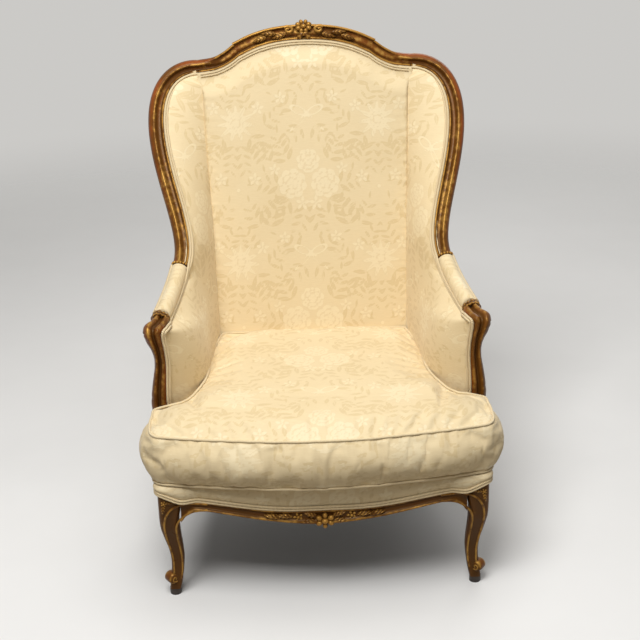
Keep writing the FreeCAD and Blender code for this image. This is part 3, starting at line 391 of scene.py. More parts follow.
def spiral(centre, right, up, start, end, turns, phase, count=40):
    """Points of a scroll that winds from one radius to another."""
    share = np.linspace(0, 1, count)[:, None]
    angle = phase + turns * 2 * math.pi * share
    radius = start + (end - start) * share ** 0.8
    return centre + (right * np.cos(angle) + up * np.sin(angle)) * radius


# Pattern of the damask: a field in metres, above zero inside a motif

TILE_WIDTH, TILE_HEIGHT = 0.325, 0.310
NOWHERE = -0.004


def leaf_field(spots, base, angle, length, half):
    cosine, sine = math.cos(angle), math.sin(angle)
    x, y = spots[:, 0] - base[0], spots[:, 1] - base[1]
    along, across = (x * cosine + y * sine) / length, y * cosine - x * sine
    inside = (along > 0) & (along < 1)
    width = half * np.sin(math.pi * np.clip(along, 0, 1) ** 0.85)
    vein = np.where(length > 0.022, np.abs(across) - 0.0005, 1.0)
    return np.where(inside, np.minimum(width - np.abs(across), vein), NOWHERE)


def spray_field(spots, base, angle, length, bend, leaves, size):
    """Leaves on both sides of a bending stem, smaller towards its tip, with one at the end."""
    field = np.full(len(spots), NOWHERE)
    for index in range(leaves + 1):
        share = index / leaves
        turn = angle + bend * share
        middle = angle + bend * share / 2
        place = (base[0] + length * share * math.cos(middle), base[1] + length * share * math.sin(middle))
        field = np.maximum(field, 0.0011 - np.hypot(spots[:, 0] - place[0], spots[:, 1] - place[1]))
        long = size * (1 - 0.45 * share)
        sides = (0.0,) if index == leaves else (0.95, -0.95)
        for side in sides:
            field = np.maximum(field, leaf_field(spots, place, turn + side, long, long * 0.135))
    return field


# Rings of a rose: number of petals, their place and size as shares of its radius, and the first one's turn
ROSE_RINGS = ((8, 0.66, 0.40, 0.2), (6, 0.40, 0.33, 0.7), (5, 0.20, 0.22, 0.1))


def rose_field(spots, centre, radius):
    """Ring upon ring of petals, parted by thin lines."""
    field = np.full(len(spots), NOWHERE)
    x, y = spots[:, 0] - centre[0], spots[:, 1] - centre[1]
    for count, place, size, phase in ROSE_RINGS:
        best = np.full(len(spots), -1.0)
        second = np.full(len(spots), -1.0)
        for turn in phase + np.arange(count) * 2 * math.pi / count:
            out = radius * place
            value = radius * size - np.hypot(x - out * math.cos(turn), y - out * math.sin(turn))
            second = np.maximum(second, np.minimum(best, value))
            best = np.maximum(best, value)
        ring = np.minimum(best - 0.0008, (best - second) * 0.5 - 0.0004)
        field = np.where(best > -0.0012, np.where(best < 0, NOWHERE, ring), field)
    return np.maximum(field, radius * 0.09 - np.hypot(x, y))


def flower_field(spots, centre, radius, petals=5):
    field = radius * 0.16 - np.hypot(spots[:, 0] - centre[0], spots[:, 1] - centre[1])
    for index in range(petals):
        angle = 0.4 + index * 2 * math.pi / petals
        base = (centre[0] + radius * 0.2 * math.cos(angle), centre[1] + radius * 0.2 * math.sin(angle))
        field = np.maximum(field, leaf_field(spots, base, angle, radius * 0.85, radius * 1.15 / petals))
    return field


def bow_field(spots, centre, size):
    """Ribbon with two loops and two tails."""
    field = 0.25 * size - np.hypot(spots[:, 0] - centre[0], spots[:, 1] - centre[1])
    x, y = spots[:, 0] - centre[0], spots[:, 1] - centre[1]
    for turn, long, wide in ((0.45, 1.0, 0.42), (-0.75, 1.25, 0.2)):
        along = x * math.cos(turn) + y * math.sin(turn) - long * size
        across = y * math.cos(turn) - x * math.sin(turn)
        ring = np.hypot(along / long, across / wide)
        field = np.maximum(field, 0.11 * size - np.abs(ring - 0.9 * size) * 0.6)
    return np.maximum(field, NOWHERE)


FLOWERS = (
    (rose_field, ((0.038, 0.100), 0.033)),
    (rose_field, ((0.000, 0.150), 0.027)),
    (flower_field, ((0.016, 0.056), 0.017)),
    (flower_field, ((0.078, 0.132), 0.015)),
    (bow_field, ((0.000, 0.252), 0.021)),
    (flower_field, ((TILE_WIDTH / 2, 0.236), 0.046, 11)),
    (rose_field, ((TILE_WIDTH / 2, 0.236), 0.024)),
    (flower_field, ((0.112, 0.268), 0.016)),
    (bow_field, ((TILE_WIDTH / 2, 0.088), 0.018)),
    (flower_field, ((0.124, 0.112), 0.016)),
    (flower_field, ((0.060, 0.290), 0.015)),
)
# Sprays: base, angle, length, bend, pairs of leaves and size of the largest
LEAVES = [(spray_field, row) for row in (
    ((0.048, 0.150), 1.00, 0.066, 0.5, 4, 0.038),
    ((0.070, 0.096), 0.35, 0.056, -0.5, 3, 0.036),
    ((0.046, 0.064), -0.70, 0.066, 0.6, 4, 0.037),
    ((0.092, 0.006), 1.75, 0.078, 0.5, 4, 0.040),
    ((0.114, 0.010), 0.75, 0.056, 0.7, 3, 0.036),
    ((0.008, 0.050), -1.40, 0.078, 0.5, 4, 0.036),
    ((0.130, 0.205), 4.00, 0.066, 0.6, 4, 0.037),
    ((0.155, 0.186), 4.60, 0.072, -0.2, 4, 0.034),
    ((0.016, 0.226), 5.40, 0.052, 0.5, 3, 0.032),
    ((0.032, 0.262), 0.90, 0.058, -0.5, 3, 0.034),
    ((0.098, 0.232), 2.60, 0.052, -0.5, 3, 0.032),
    ((0.080, 0.176), -0.30, 0.046, 0.6, 3, 0.032),
    ((0.134, 0.266), 1.35, 0.048, -0.5, 3, 0.031),
)]


def pattern_field(motifs, u, v):
    """Field of some motifs at places on the cloth; the pattern mirrors across it and repeats up it."""
    across = np.abs((u + TILE_WIDTH / 2) % TILE_WIDTH - TILE_WIDTH / 2)
    up = v % TILE_HEIGHT
    field = np.full(across.shape, NOWHERE)
    for shift in (-TILE_HEIGHT, 0.0, TILE_HEIGHT):
        spots = np.stack([across, up + shift], -1)
        near = (spots[:, 1] > -0.09) & (spots[:, 1] < TILE_HEIGHT + 0.06)
        for motif, values in motifs:
            field[near] = np.maximum(field[near], motif(spots[near], *values))
    return field


def damask_looks(u, v):
    """Attributes of patterned cloth."""
    return {"field": pattern_field(FLOWERS, u, v), "shade": pattern_field(LEAVES, u, v),
            "cloth": np.stack([u, v, 0 * u], -1)}


def wobble(u, v, scale, seed):
    """Smooth repeatable unevenness between about -1 and 1."""
    rng = np.random.default_rng(seed)
    total = np.zeros(np.shape(u))
    for _ in range(5):
        a, b = rng.normal(0, 1 / scale, 2)
        total = total + np.sin(a * u + b * v + rng.uniform(0, 6.28))
    return total / 3


def thick_sheet(points, back, u, v):
    """Closed padded sheet: a patterned front grid, its back, and the edge between them."""
    verts = np.concatenate([points.reshape(-1, 3), (points + back).reshape(-1, 3)])
    looks = damask_looks(np.asarray(u).ravel(), np.asarray(v).ravel())
    doubled = {name: np.concatenate([values, values]) for name, values in looks.items()}
    return shape(verts, sheet_faces(*points.shape[:2]), **doubled)


# Materials

class Graph:
    """Small helper around one material's nodes."""

    def __init__(self, name):
        self.material = bpy.data.materials.new(name)
        self.material.use_nodes = True
        self.tree = self.material.node_tree
        self.shader = self.tree.nodes["Principled BSDF"]

    def feed(self, socket, value):
        if isinstance(value, bpy.types.NodeSocket):
            self.tree.links.new(value, socket)
        else:
            socket.default_value = value

    def add(self, kind, inputs=None, **settings):
        made = self.tree.nodes.new("ShaderNode" + kind)
        for key, value in settings.items():
            setattr(made, key, value)
        for key, value in (inputs or {}).items():
            self.feed(made.inputs[key], value)
        return made

    def math(self, operation, a, b=0.0):
        return self.add("Math", {0: a, 1: b}, operation=operation).outputs[0]

    def times(self, a, b):
        return self.math("MULTIPLY", a, b)

    def plus(self, a, b):
        return self.math("ADD", a, b)

    def mix(self, factor, a, b):
        return self.add("Mix", {0: factor, 6: a, 7: b}, data_type="RGBA").outputs[2]

    def ramp(self, value, low, high, to_low=0.0, to_high=1.0):
        made = self.add("MapRange", {0: value, 1: low, 2: high, 3: to_low, 4: to_high},
                        interpolation_type="SMOOTHSTEP")
        return made.outputs[0]

    def attribute(self, name, output="Fac"):
        return self.add("Attribute", attribute_name=name).outputs[output]

    def place(self, scale=(1, 1, 1)):
        source = self.add("TexCoord").outputs["Object"]
        return self.add("Mapping", {"Vector": source, "Scale": scale}).outputs[0]

    def noise(self, scale, detail=4.0, vector=None):
        inputs = {"Scale": scale, "Detail": detail, "Roughness": 0.55}
        inputs["Vector"] = self.place() if vector is None else vector
        return self.add("TexNoise", inputs).outputs[0]

    def wave(self, scale, vector, direction="X", distortion=0.0):
        inputs = {"Scale": scale, "Vector": vector, "Distortion": distortion}
        return self.add("TexWave", inputs, bands_direction=direction).outputs[1]

    def bump(self, height, strength, distance):
        made = self.add("Bump", {"Height": height, "Strength": strength, "Distance": distance})
        self.feed(self.shader.inputs["Normal"], made.outputs[0])

    def set(self, **values):
        for key, value in values.items():
            self.feed(self.shader.inputs[key.replace("_", " ")], value)
        return self.material


CREAM = (0.780, 0.640, 0.400, 1)
RIB_PITCH = 0.0026


def show_wood():
    """Walnut brown with worn gilding over a red ground."""
    graph = Graph("show_wood")
    grain = graph.noise(9.0, 6.0, graph.place((1.0, 1.0, 0.18)))
    wear = graph.noise(85.0, 5.0)
    patches = graph.noise(14.0, 3.0)
    wood = graph.mix(grain, (0.048, 0.016, 0.002, 1), (0.185, 0.068, 0.009, 1))
    bole = graph.times(graph.attribute("bole"), graph.ramp(patches, 0.30, 0.60))
    ground = graph.mix(bole, wood, (0.235, 0.055, 0.009, 1))
    worn = graph.plus(graph.attribute("gild"), graph.times(graph.math("SUBTRACT", wear, 0.5), 1.6))
    worn = graph.plus(worn, graph.times(graph.math("SUBTRACT", patches, 0.5), 0.9))
    gold = graph.ramp(worn, 0.42, 1.00)
    tone = graph.mix(patches, (0.240, 0.105, 0.014, 1), (0.460, 0.255, 0.060, 1))
    colour = graph.mix(gold, ground, tone)
    # Darkened towards dark brown by dirt with painted shade: in the hollows, on the backs of bars, under
    # leaves and bosses, and over the legs
    dirt = graph.times(graph.attribute("dirt"), 0.60)
    colour = graph.mix(dirt, colour, (0.022, 0.009, 0.003, 1))
    graph.bump(graph.plus(graph.times(wear, 0.5), grain), 0.22, 0.0012)
    return graph.set(Base_Color=colour, Metallic=graph.times(gold, 0.35),
                     Roughness=graph.ramp(wear, 0.25, 0.75, 0.26, 0.44), Specular_IOR_Level=0.22,
                     Specular_Tint=(1.0, 0.78, 0.50, 1))


def damask():
    """Cream cloth with paler satin flowers and slightly darker leaves."""
    graph = Graph("damask")
    cloth = graph.attribute("cloth", "Vector")
    light, shade = graph.attribute("field"), graph.attribute("shade")
    flower = graph.ramp(light, -0.0006, 0.0006)
    leafy = graph.ramp(shade, -0.0006, 0.0006)
    outline = graph.ramp(graph.math("ABSOLUTE", light), 0.0, 0.0010, 1.0, 0.0)
    soil = graph.noise(5.0, 4.0)
    thread = graph.add("Mapping", {"Vector": cloth, "Scale": (0.25, 2.2, 1)}).outputs[0]
    slub = graph.noise(240.0, 3.0, thread)
    colour = graph.mix(slub, (0.700, 0.555, 0.325, 1), CREAM)
    dark = graph.mix(slub, (0.600, 0.450, 0.230, 1), (0.675, 0.528, 0.292, 1))
    satin = graph.mix(slub, (0.745, 0.612, 0.380, 1), (0.818, 0.692, 0.455, 1))
    colour = graph.mix(graph.times(leafy, 0.65), colour, dark)
    colour = graph.mix(flower, colour, satin)
    colour = graph.mix(graph.times(outline, 0.15), colour, (0.560, 0.410, 0.200, 1))
    colour = graph.mix(graph.ramp(soil, 0.45, 0.85, 0.0, 0.18), colour, (0.580, 0.430, 0.220, 1))
    weft = graph.wave(520.0, cloth, "Y")
    raised = graph.math("SUBTRACT", flower, graph.times(leafy, 0.5))
    relief = graph.plus(raised, graph.times(graph.plus(weft, slub), 0.35))
    graph.bump(relief, 0.28, 0.0006)
    return graph.set(Base_Color=colour, Roughness=graph.ramp(flower, 0.0, 1.0, 0.72, 0.50), Sheen_Weight=0.2,
                     Sheen_Roughness=0.4, Specular_IOR_Level=0.28)


def gimp(name, furrow_shade):
    """Cream braid or piping, ribbed across its length, with painted shade in the furrows between the ribs."""
    graph = Graph(name)
    along = graph.times(graph.attribute("along"), 2 * math.pi / RIB_PITCH)
    rib = graph.math("SINE", along)
    soil = graph.noise(40.0)
    # Painted shade in the furrows between the ribs
    colour = graph.mix(graph.ramp(rib, -1.0, 1.0, 0.10, 0.95), furrow_shade, CREAM)
    colour = graph.mix(graph.ramp(soil, 0.4, 0.8, 0.0, 0.30), colour, (0.520, 0.375, 0.185, 1))
    graph.bump(rib, 0.45, 0.0008)
    return graph.set(Base_Color=colour, Roughness=0.7, Sheen_Weight=0.2)


def cloth_material(name, dark, light, scale):
    """Plain woven cloth with threads both ways."""
    graph = Graph(name)
    where = graph.place()
    warp = graph.wave(scale, where, "X", 0.6)
    weft = graph.wave(scale, where, "Y", 0.6)
    weave = graph.times(graph.plus(warp, weft), 0.5)
    uneven = graph.times(graph.plus(weave, graph.noise(30.0)), 0.5)
    graph.bump(weave, 0.4, 0.0008)
    return graph.set(Base_Color=graph.mix(uneven, dark, light), Roughness=0.9)


def plain_wood(name, dark, light, rough):
    graph = Graph(name)
    grain = graph.noise(12.0, 6.0, graph.place((1.0, 0.16, 1.0)))
    rings = graph.wave(24.0, graph.place((1.0, 0.2, 1.0)), "Z", 6.0)
    mixed = graph.times(graph.plus(grain, rings), 0.5)
    graph.bump(mixed, 0.2, 0.001)
    return graph.set(Base_Color=graph.mix(mixed, dark, light), Roughness=rough)


WOOD = show_wood()
DAMASK = damask()
# Each braid's second colour is the painted shade in its furrows
GIMP = gimp("gimp", (0.560, 0.415, 0.215, 1))
PIPING = gimp("piping", (0.690, 0.545, 0.315, 1))
NODE_MATERIALS = {
    "show_wood": WOOD,
    "damask": DAMASK,
    "frame_wood": plain_wood("frame_wood", (0.30, 0.19, 0.09, 1), (0.52, 0.37, 0.20, 1), 0.6),
    "foot_wood": plain_wood("foot_wood", (0.012, 0.008, 0.006, 1), (0.040, 0.026, 0.018, 1), 0.5),
    "deck_cloth": cloth_material("deck_cloth", (0.50, 0.40, 0.25, 1), (0.66, 0.55, 0.37, 1), 320.0),
    "webbing": cloth_material("webbing", (0.20, 0.14, 0.07, 1), (0.42, 0.31, 0.17, 1), 140.0),
    "hessian": cloth_material("hessian", (0.24, 0.17, 0.08, 1), (0.44, 0.33, 0.18, 1), 170.0),
    "dust_cloth": cloth_material("dust_cloth", (0.006, 0.006, 0.006, 1), (0.020, 0.020, 0.020, 1), 300.0),
    "filling": cloth_material("filling", (0.62, 0.58, 0.50, 1), (0.80, 0.77, 0.70, 1), 60.0),
}


def dress_nodes():
    """Every node gets the material of its slot, and the rear rail, which shows from behind, the show-wood."""
    for row in frame["record"]["subparts"]:
        mesh = frame["nodes"][row["node"]].data
        mesh.materials.clear()
        shown = row["node"] == "rear_seat_rail"
        mesh.materials.append(WOOD if shown else NODE_MATERIALS[row["material_slot"]])


# Paths of the show-wood

def crest_point(x, rise):
    z = RAIL_TOP + rise
    return (x, face_y(z), z)


# Crest from its middle to the kink, as shares of the way and the drop, then to the joint, with widths
CREST_ARCH = ((0.0, 0.0), (0.40, 0.12), (0.72, 0.46), (1.0, 1.0))
CREST_SHOULDER = ((0.0, 0.05, CREST_WIDTH - 0.004), (0.25, 0.50, CREST_END_WIDTH + 0.001),
                  (0.56, 0.84, CREST_END_WIDTH), (1.0, 1.0, CREST_END_WIDTH))
MITRE_OVERLAP = 0.002
# Bends of the wing's curve, two measured from its top and one from its foot
WING_BENDS = ((0.106, 0.008, 0.002), (0.158, -0.115, -0.112), (-0.019, 0.105, 0.082))


def crest_path():
    """The crest's left shoulder, middle and right shoulder, each as points, tangents and widths."""
    kink_drop = CREST_MID_RISE - CREST_KINK[1]
    joint_drop = CREST_KINK[1] - CREST_JOINT[1]
    run = CREST_JOINT[0] - CREST_KINK[0]
    half = [(share * CREST_KINK[0], CREST_MID_RISE - drop * kink_drop, CREST_WIDTH)
            for share, drop in CREST_ARCH]
    fall = [(CREST_KINK[0] + share * run, CREST_KINK[1] - drop * joint_drop, width)
            for share, drop, width in CREST_SHOULDER]
    middle = smooth([(-x, z, w) for x, z, w in reversed(half[1:])] + half, 14)
    right = smooth(fall, 14)
    left = (right * (-1, 1, 1))[::-1]
    parts = []
    for rows in (left, middle, right):
        points = np.array([crest_point(x, z) for x, z in rows[:, :2]])
        parts.append((points, tangents(points), rows[:, 2]))
    for before, after in zip(parts, parts[1:]):
        mitre = unit(before[1][-1] + after[1][0])
        before[1][-1] = mitre
        after[1][0] = mitre
    parts[0][0][-1] += parts[0][1][-1] * MITRE_OVERLAP
    parts[2][0][0] -= parts[2][1][0] * MITRE_OVERLAP
    return parts


def crest_wood():
    parts = []
    for points, tangent, width in crest_path():
        share = ease((np.abs(points[:, 0]) - CREST_KINK[0] - 0.02) / 0.06)
        rows = mixed_rows(CREST_MOULDING, MOULDING, share)
        parts.append(moulded(points, tangent, rows, width, WOOD_DEPTH))
    return joined(parts)


def wing_path(t):
    top = np.array(crest_point(*CREST_JOINT))
    foot = ARM_REAR_END
    curve = [top, top + WING_BENDS[0], top + WING_BENDS[1], foot + WING_BENDS[2], foot]
    swell = np.sin(math.pi * t) ** 0.7
    width = CREST_END_WIDTH + (ARM_WIDTH - CREST_END_WIDTH) * t + (WING_WIDTH - ARM_WIDTH + 0.003) * swell
    return bezier(curve, t), bezier_tangent(curve, t), width


def arm_path(t):
    end = np.array((SUPPORT_TOP[0] - 0.010, SUPPORT_TOP[1] + 0.030, ARM_REAR_END[2] - ARM_FALL))
    away = wing_path(np.array([1.0]))[1][0]
    curve = [ARM_REAR_END, ARM_REAR_END + away * 0.062, end + (-0.009, 0.065, 0.006), end]
    return bezier(curve, t), bezier_tangent(curve, t), np.full(len(t), ARM_WIDTH)


def front_path():
    """The arm's wood beyond its pad, over the elbow and down the support: points, tangents and widths."""
    points = arm_path(np.array([ARM_PAD_END, 0.9, 1.0]))[0]
    swell = np.array((0.0, 0.003, 0.008))
    rows = np.column_stack([points + RIGHT * swell[:, None] / 2, ARM_WIDTH + swell])
    rows = np.vstack([rows, np.array(ELBOW) + (0, 0, RAIL_TOP, 0)])
    rows = smooth(rows, 9)
    return rows[:, :3], tangents(rows[:, :3]), rows[:, 3]


def elbow_end():
    """Number of front_path's rows that belong to the arm; the rest are the support's."""
    return int(np.argmax(front_path()[0][:, 2] < SUPPORT_TOP[2] - 0.012))


def front_facing():
    """Which way front_path's sections face: up on the arm, turning to the front on the support."""
    share = ease(np.arange(len(front_path()[0])) / 12)[:, None]
    return BACK_FACE * (1 - share) + ELBOW_FACE * share


def edge_point(points, tangent, width, across, behind, facing=BACK_FACE):
    """Points beyond the inner edge of a bar and behind its face."""
    face, inward = section_axes(tangent, facing)
    across = np.broadcast_to(width / 2 + across, len(points))
    behind = np.broadcast_to(behind, len(points))
    return points + inward * across[:, None] - face * behind[:, None]


# Show-wood

def arm_wood():
    """Arm with a lowered seat for its pad, and the elbow in front of it."""
    t = np.linspace(0, ARM_PAD_END, 56)[:-1]
    rear, _, rear_width = arm_path(t)
    front, _, front_width = front_path()
    cut = elbow_end() + 1
    points = np.vstack([rear, front[:cut]])
    width = np.concatenate([rear_width, front_width[:cut]])
    facing = np.vstack([np.broadcast_to(BACK_FACE, rear.shape), front_facing()[:cut]])
    t = np.concatenate([t, np.full(cut, 1.0)])
    seat = ease((t - ARM_PAD_START + 0.02) / 0.04) * ease((ARM_PAD_END + 0.02 - t) / 0.04)
    rows = mixed_rows(MOULDING, TWIN_RIDGE, ease((t - 0.3) / 0.3))
    return moulded(points, tangents(points), rows, width, WOOD_DEPTH, seat * ARM_PAD_HEIGHT, facing)


def support_wood():
    points, tangent, width = (values[elbow_end():] for values in front_path())
    rows = section_rows(TWIN_RIDGE)
    return moulded(points, tangent, rows, width, SUPPORT_DEPTH, facing=front_facing()[elbow_end():])


def front_edge(x, proud=0.0):
    return FRONT_Y - proud + FRONT_BOW * (x / SEAT_HALF_WIDTH) ** 2


# Front rail: places across it, its two drawn edges below the rail's top there, and its section as shares of
# its height, distances in front of the rail, gilding, red ground, and dirt with painted shade, most in the
# channel and on the top and bottom
RAIL_PLACES = (0.0, 0.1094, 0.243, 0.2737, LEG_CORNER_X)
RAIL_BOTTOM = (-0.059, -0.049, -0.0245, -0.0300, -0.051)
RAIL_SHOW_TOP = (-0.0265, -0.0245, -0.0055, -0.0040, -0.0105)
RAIL_SECTION = (
    (1.00, 0.000, 0.2, 0, 0.6), (1.00, 0.006, 0.4, 0, 0.3), (0.93, 0.0085, 0.7, 0, 0.0),
    (0.84, 0.0065, 0.5, 0, 0.4), (0.72, 0.0045, 0.1, 0, 0.8), (0.52, 0.0045, 0.1, 0.2, 0.6),
    (0.36, 0.0060, 0.2, 0, 0.6), (0.27, 0.0085, 0.5, 0, 0.3), (0.18, 0.0100, 0.8, 0, 0.0),
    (0.08, 0.0095, 0.6, 0, 0.1), (0.01, 0.0065, 0.3, 0, 0.4), (0.00, 0.000, 0.1, 0, 0.6),
)


def rail_edge(heights, x):
    """Height of a drawn edge of the front rail."""
    places = np.array(RAIL_PLACES)
    across = np.concatenate([-places[:0:-1], places])
    rows = np.column_stack([across, np.concatenate([heights[:0:-1], heights])])
    curve = smooth(rows, 24)
    return RAIL_TOP + np.interp(x, curve[:, 0], curve[:, 1])


def front_rail():
    x = np.linspace(-RAIL_PLACES[-1], RAIL_PLACES[-1], 121)
    low, high = rail_edge(RAIL_BOTTOM, x), rail_edge(RAIL_SHOW_TOP, x)
    rows = smooth(RAIL_SECTION, 3)
    z = low[:, None] + (high - low)[:, None] * rows[:, 0]
    y = front_edge(x)[:, None] - rows[:, 1]
    back_y = front_edge(x)[:, None] + np.array((0.028, 0.028, 0.0))
    back_z = np.stack([low, np.full_like(x, RAIL_TOP), np.full_like(x, RAIL_TOP)], -1)
    y, z = np.hstack([y, back_y]), np.hstack([z, back_z])
    verts = np.stack([np.broadcast_to(x[:, None], y.shape), y, z], -1)
    looks = {}
    for i, name in enumerate(LOOKS):
        looks[name] = np.tile(np.concatenate([rows[:, 2 + i], (0, 0, 0)]), len(x))
    return shape(verts, capped(len(x), verts.shape[1]), **looks)


# Height, middle and size of the front leg's sections
LEG_STATIONS = (
    (0.2540, 0.3140, -0.3150, 0.0460), (0.2180, 0.3145, -0.3155, 0.0450), (0.1920, 0.3168, -0.3140, 0.0405),
    (0.1700, 0.3165, -0.3105, 0.0390), (0.1420, 0.3134, -0.3045, 0.0345), (0.1130, 0.3092, -0.2985, 0.0300),
    (0.0860, 0.3072, -0.2950, 0.0275), (0.0600, 0.3085, -0.2945, 0.0258), (0.0360, 0.3118, -0.2955, 0.0258),
    (0.0140, 0.3155, -0.2960, 0.0235),
)
FOOT = np.array((0.316, -0.296, 0.014))
SCROLL_RADIUS, SCROLL_LENGTH = 0.0125, 0.024
# Gilt fillets that run off the front rail's two edges and down the leg: x and height
INNER_FILLET = (
    (0.236, 0.2185), (0.262, 0.2160), (0.280, 0.2075), (0.2925, 0.1955), (0.3005, 0.1825),
    (0.3035, 0.1680), (0.3020, 0.1420), (0.2990, 0.1130), (0.2975, 0.0860), (0.2985, 0.0600),
    (0.3020, 0.0400),
)
OUTER_FILLET = (
    (0.236, 0.2320), (0.2735, 0.2335), (0.2955, 0.2290), (0.3115, 0.2190), (0.3215, 0.2040),
    (0.3258, 0.1880), (0.3268, 0.1700), (0.3240, 0.1420), (0.3190, 0.1130), (0.3155, 0.0860),
    (0.3155, 0.0600), (0.3165, 0.0520),
)
KNEE_FOOT_Z, KNEE_Y = 0.2, -0.3385
# Half a scroll, end to middle: share of its length, share of its radius, gilding, red ground, and dirt with
# painted shade, most on the ends
SCROLL_SECTION = [
    (-0.5, 0.0, 0.3, 0, 0.4), (-0.5, 0.7, 0.5, 0, 0.3), (-0.4, 0.94, 0.9, 0, 0.0),
    (-0.2, 0.98, 0.5, 0.3, 0.2), (0.0, 1.0, 0.4, 0.4, 0.2),
]


def leg_front(x, z):
    """Front surface of the rail and the leg below it."""
    rows = smooth(LEG_STATIONS, 8)[::-1]
    shank = np.interp(z, rows[:, 0], rows[:, 2] - rows[:, 3] / 2)
    leg = np.where(z > KNEE_FOOT_Z, np.minimum(shank, KNEE_Y), shank)
    return np.where(x < LEG_CORNER_X - 0.006, front_edge(x, 0.0075), leg)


def fillet(path):
    rows = smooth(path, 7)
    y = evened(leg_front(rows[:, 0], rows[:, 1]), 6)
    points = np.stack([rows[:, 0], y, rows[:, 1]], -1)
    return tube(points, np.linspace(0.0027, 0.0019, len(points)), 9, 0.75)


def front_leg():
    """Cabriole leg with gilt fillets down its front, a scroll at its foot and carving at the knee."""
    rows = smooth(LEG_STATIONS, 8)
    turn = circle(64)
    radius = (np.abs(np.cos(turn)) ** 4 + np.abs(np.sin(turn)) ** 4) ** -0.25
    ring = np.stack([np.cos(turn) * radius, np.sin(turn) * radius, 0 * turn], -1)
    middle = np.stack([rows[:, 1], rows[:, 2], rows[:, 0]], -1)
    verts = middle[:, None] + ring[None] * (rows[:, 3] / 2)[:, None, None]
    front = np.abs(np.angle(np.exp(1j * (turn + math.pi / 2))))
    channel = np.exp(-(front / 0.42) ** 4)
    # Dirt with painted shade over the whole leg, deepest in the channel down its front
    dirt, gild = 0.40 * channel + 0.40, 0.25 * (1 - channel)
    faces = capped(len(rows), len(turn))
    leg = shape(verts, faces, dirt=np.tile(dirt, len(rows)), gild=np.tile(gild, len(rows)))
    return joined([leg, fillet(INNER_FILLET), fillet(OUTER_FILLET)] + foot_scroll() + knee_carving())


def foot_scroll():
    """Scroll turned outward over the foot."""
    outward, across = unit(np.array((1.0, -0.8, 0))), unit(np.array((0.8, 1, 0)))
    centre = FOOT + outward * 0.0075 + UP * 0.026
    rows = SCROLL_SECTION + [(-row[0],) + row[1:] for row in SCROLL_SECTION[-2::-1]]
    parts = [lathe(centre, across, outward, np.array(rows) * (SCROLL_LENGTH, SCROLL_RADIUS, 1, 1, 1))]
    for side in (-1, 1):
        eye = centre + across * (side * SCROLL_LENGTH / 2)
        curl = spiral(eye, outward, UP, SCROLL_RADIUS * 0.8, 0.0012, 1.4, 2.2)
        parts.append(tube(curl, np.linspace(0.0018, 0.0011, len(curl)), 7))
    return parts


def knee_carving():
    """Small flower and leaves in the corner above the outer fillet."""
    centre = np.array((0.3240, KNEE_Y, 0.2340))
    parts = rosette(centre, (0.0065, 0.0065), 5, FRONT, UP)
    parts.append(leaf(centre + (0.001, 0, -0.005), (0.15, 0, -1), FRONT, 0.020, 0.008, 0.003, 3))
    parts.append(leaf(centre + (-0.004, 0, 0.001), (-1, 0, 0.15), FRONT, 0.018, 0.008, 0.003, 3))
    return parts


# Carving

def rosette(centre, radii, petals, out, up):
    """Flower of round petals about a boss."""
    right = np.cross(up, out)
    wide, high = radii
    parts = [ball(centre, right, up, out, (wide * 0.38, high * 0.38, wide * 0.45))]
    for index in range(petals):
        turn = 2 * math.pi * (index + 0.5) / petals
        toward = right * math.cos(turn) * wide + up * math.sin(turn) * high
        away = unit(np.cross(out, toward))
        size = np.linalg.norm(toward)
        parts.append(ball(centre + toward * 0.66 - out * 0.001, toward / size, away, out,
                          (size * 0.36, size * 0.30, wide * 0.32)))
    return parts


# Trailing leaves on each side of the crest and of the rail: place across, length, rise and tilt
CREST_LEAVES = ((0.042, 0.034, -0.003, -0.20), (0.062, 0.036, 0.001, 0.16), (0.084, 0.034, -0.001, -0.10))
RAIL_LEAVES = ((0.016, 0.030, 0.002, 0.35), (0.020, 0.030, -0.006, -0.15), (0.066, 0.032, 0.001, 0.10),
               (0.090, 0.034, -0.003, 0.22))
COLLAR_HALF_WIDTH = 0.0165


def crest_carving():
    """Flower on top of the crest, with two small leaves under it, scrolls beside it and trailing leaves."""
    top = np.array(crest_point(0.0, CREST_MID_RISE + 0.012)) + BACK_FACE * 0.001
    parts = rosette(top, (0.0195, 0.0155), 8, BACK_FACE, BACK_UP)
    low = top - BACK_UP * 0.013 + BACK_FACE * 0.001
    points, tangent, _ = crest_path()[1]
    for side in (-1, 1):
        right = RIGHT * side
        parts.append(leaf(low, right * 0.62 - BACK_UP * 0.7, BACK_FACE, 0.024, 0.012, 0.005, 2))
        centre = top + right * 0.033 - BACK_UP * 0.0075 + BACK_FACE * 0.0005
        curl = spiral(centre + right * 0.002, right * 1.5, BACK_UP, 0.0085, 0.002, 1.25, 0.7)
        parts.append(tube(curl, np.linspace(0.0040, 0.0024, len(curl))))
        for place, length, rise, tilt in CREST_LEAVES:
            index = np.argmin(np.abs(points[:, 0] - place * side))
            base = points[index] + BACK_UP * rise - BACK_FACE * 0.004
            parts.append(leaf(base, tangent[index] * side + BACK_UP * tilt, BACK_FACE, length, 0.013, 0.006))
    return joined(parts)


def rail_carving():
    """Flower in the middle of the front rail, with leaves and a smaller flower on each side."""
    low = rail_edge(RAIL_BOTTOM, np.array([0.0]))[0]
    parts = rosette(np.array((0.0, front_edge(0.0, 0.009), low + 0.0095)), (0.0205, 0.0175), 6, FRONT, UP)
    for side in (-1, 1):
        for place, length, rise, tilt in RAIL_LEAVES:
            base = rail_middle(place * side, 0.005) + UP * rise
            parts.append(leaf(base, RIGHT * side + UP * tilt, FRONT, length, 0.012, 0.006))
        parts += rosette(rail_middle(0.054 * side, 0.0055), (0.0105, 0.0095), 5, FRONT, UP)
    return joined(parts)


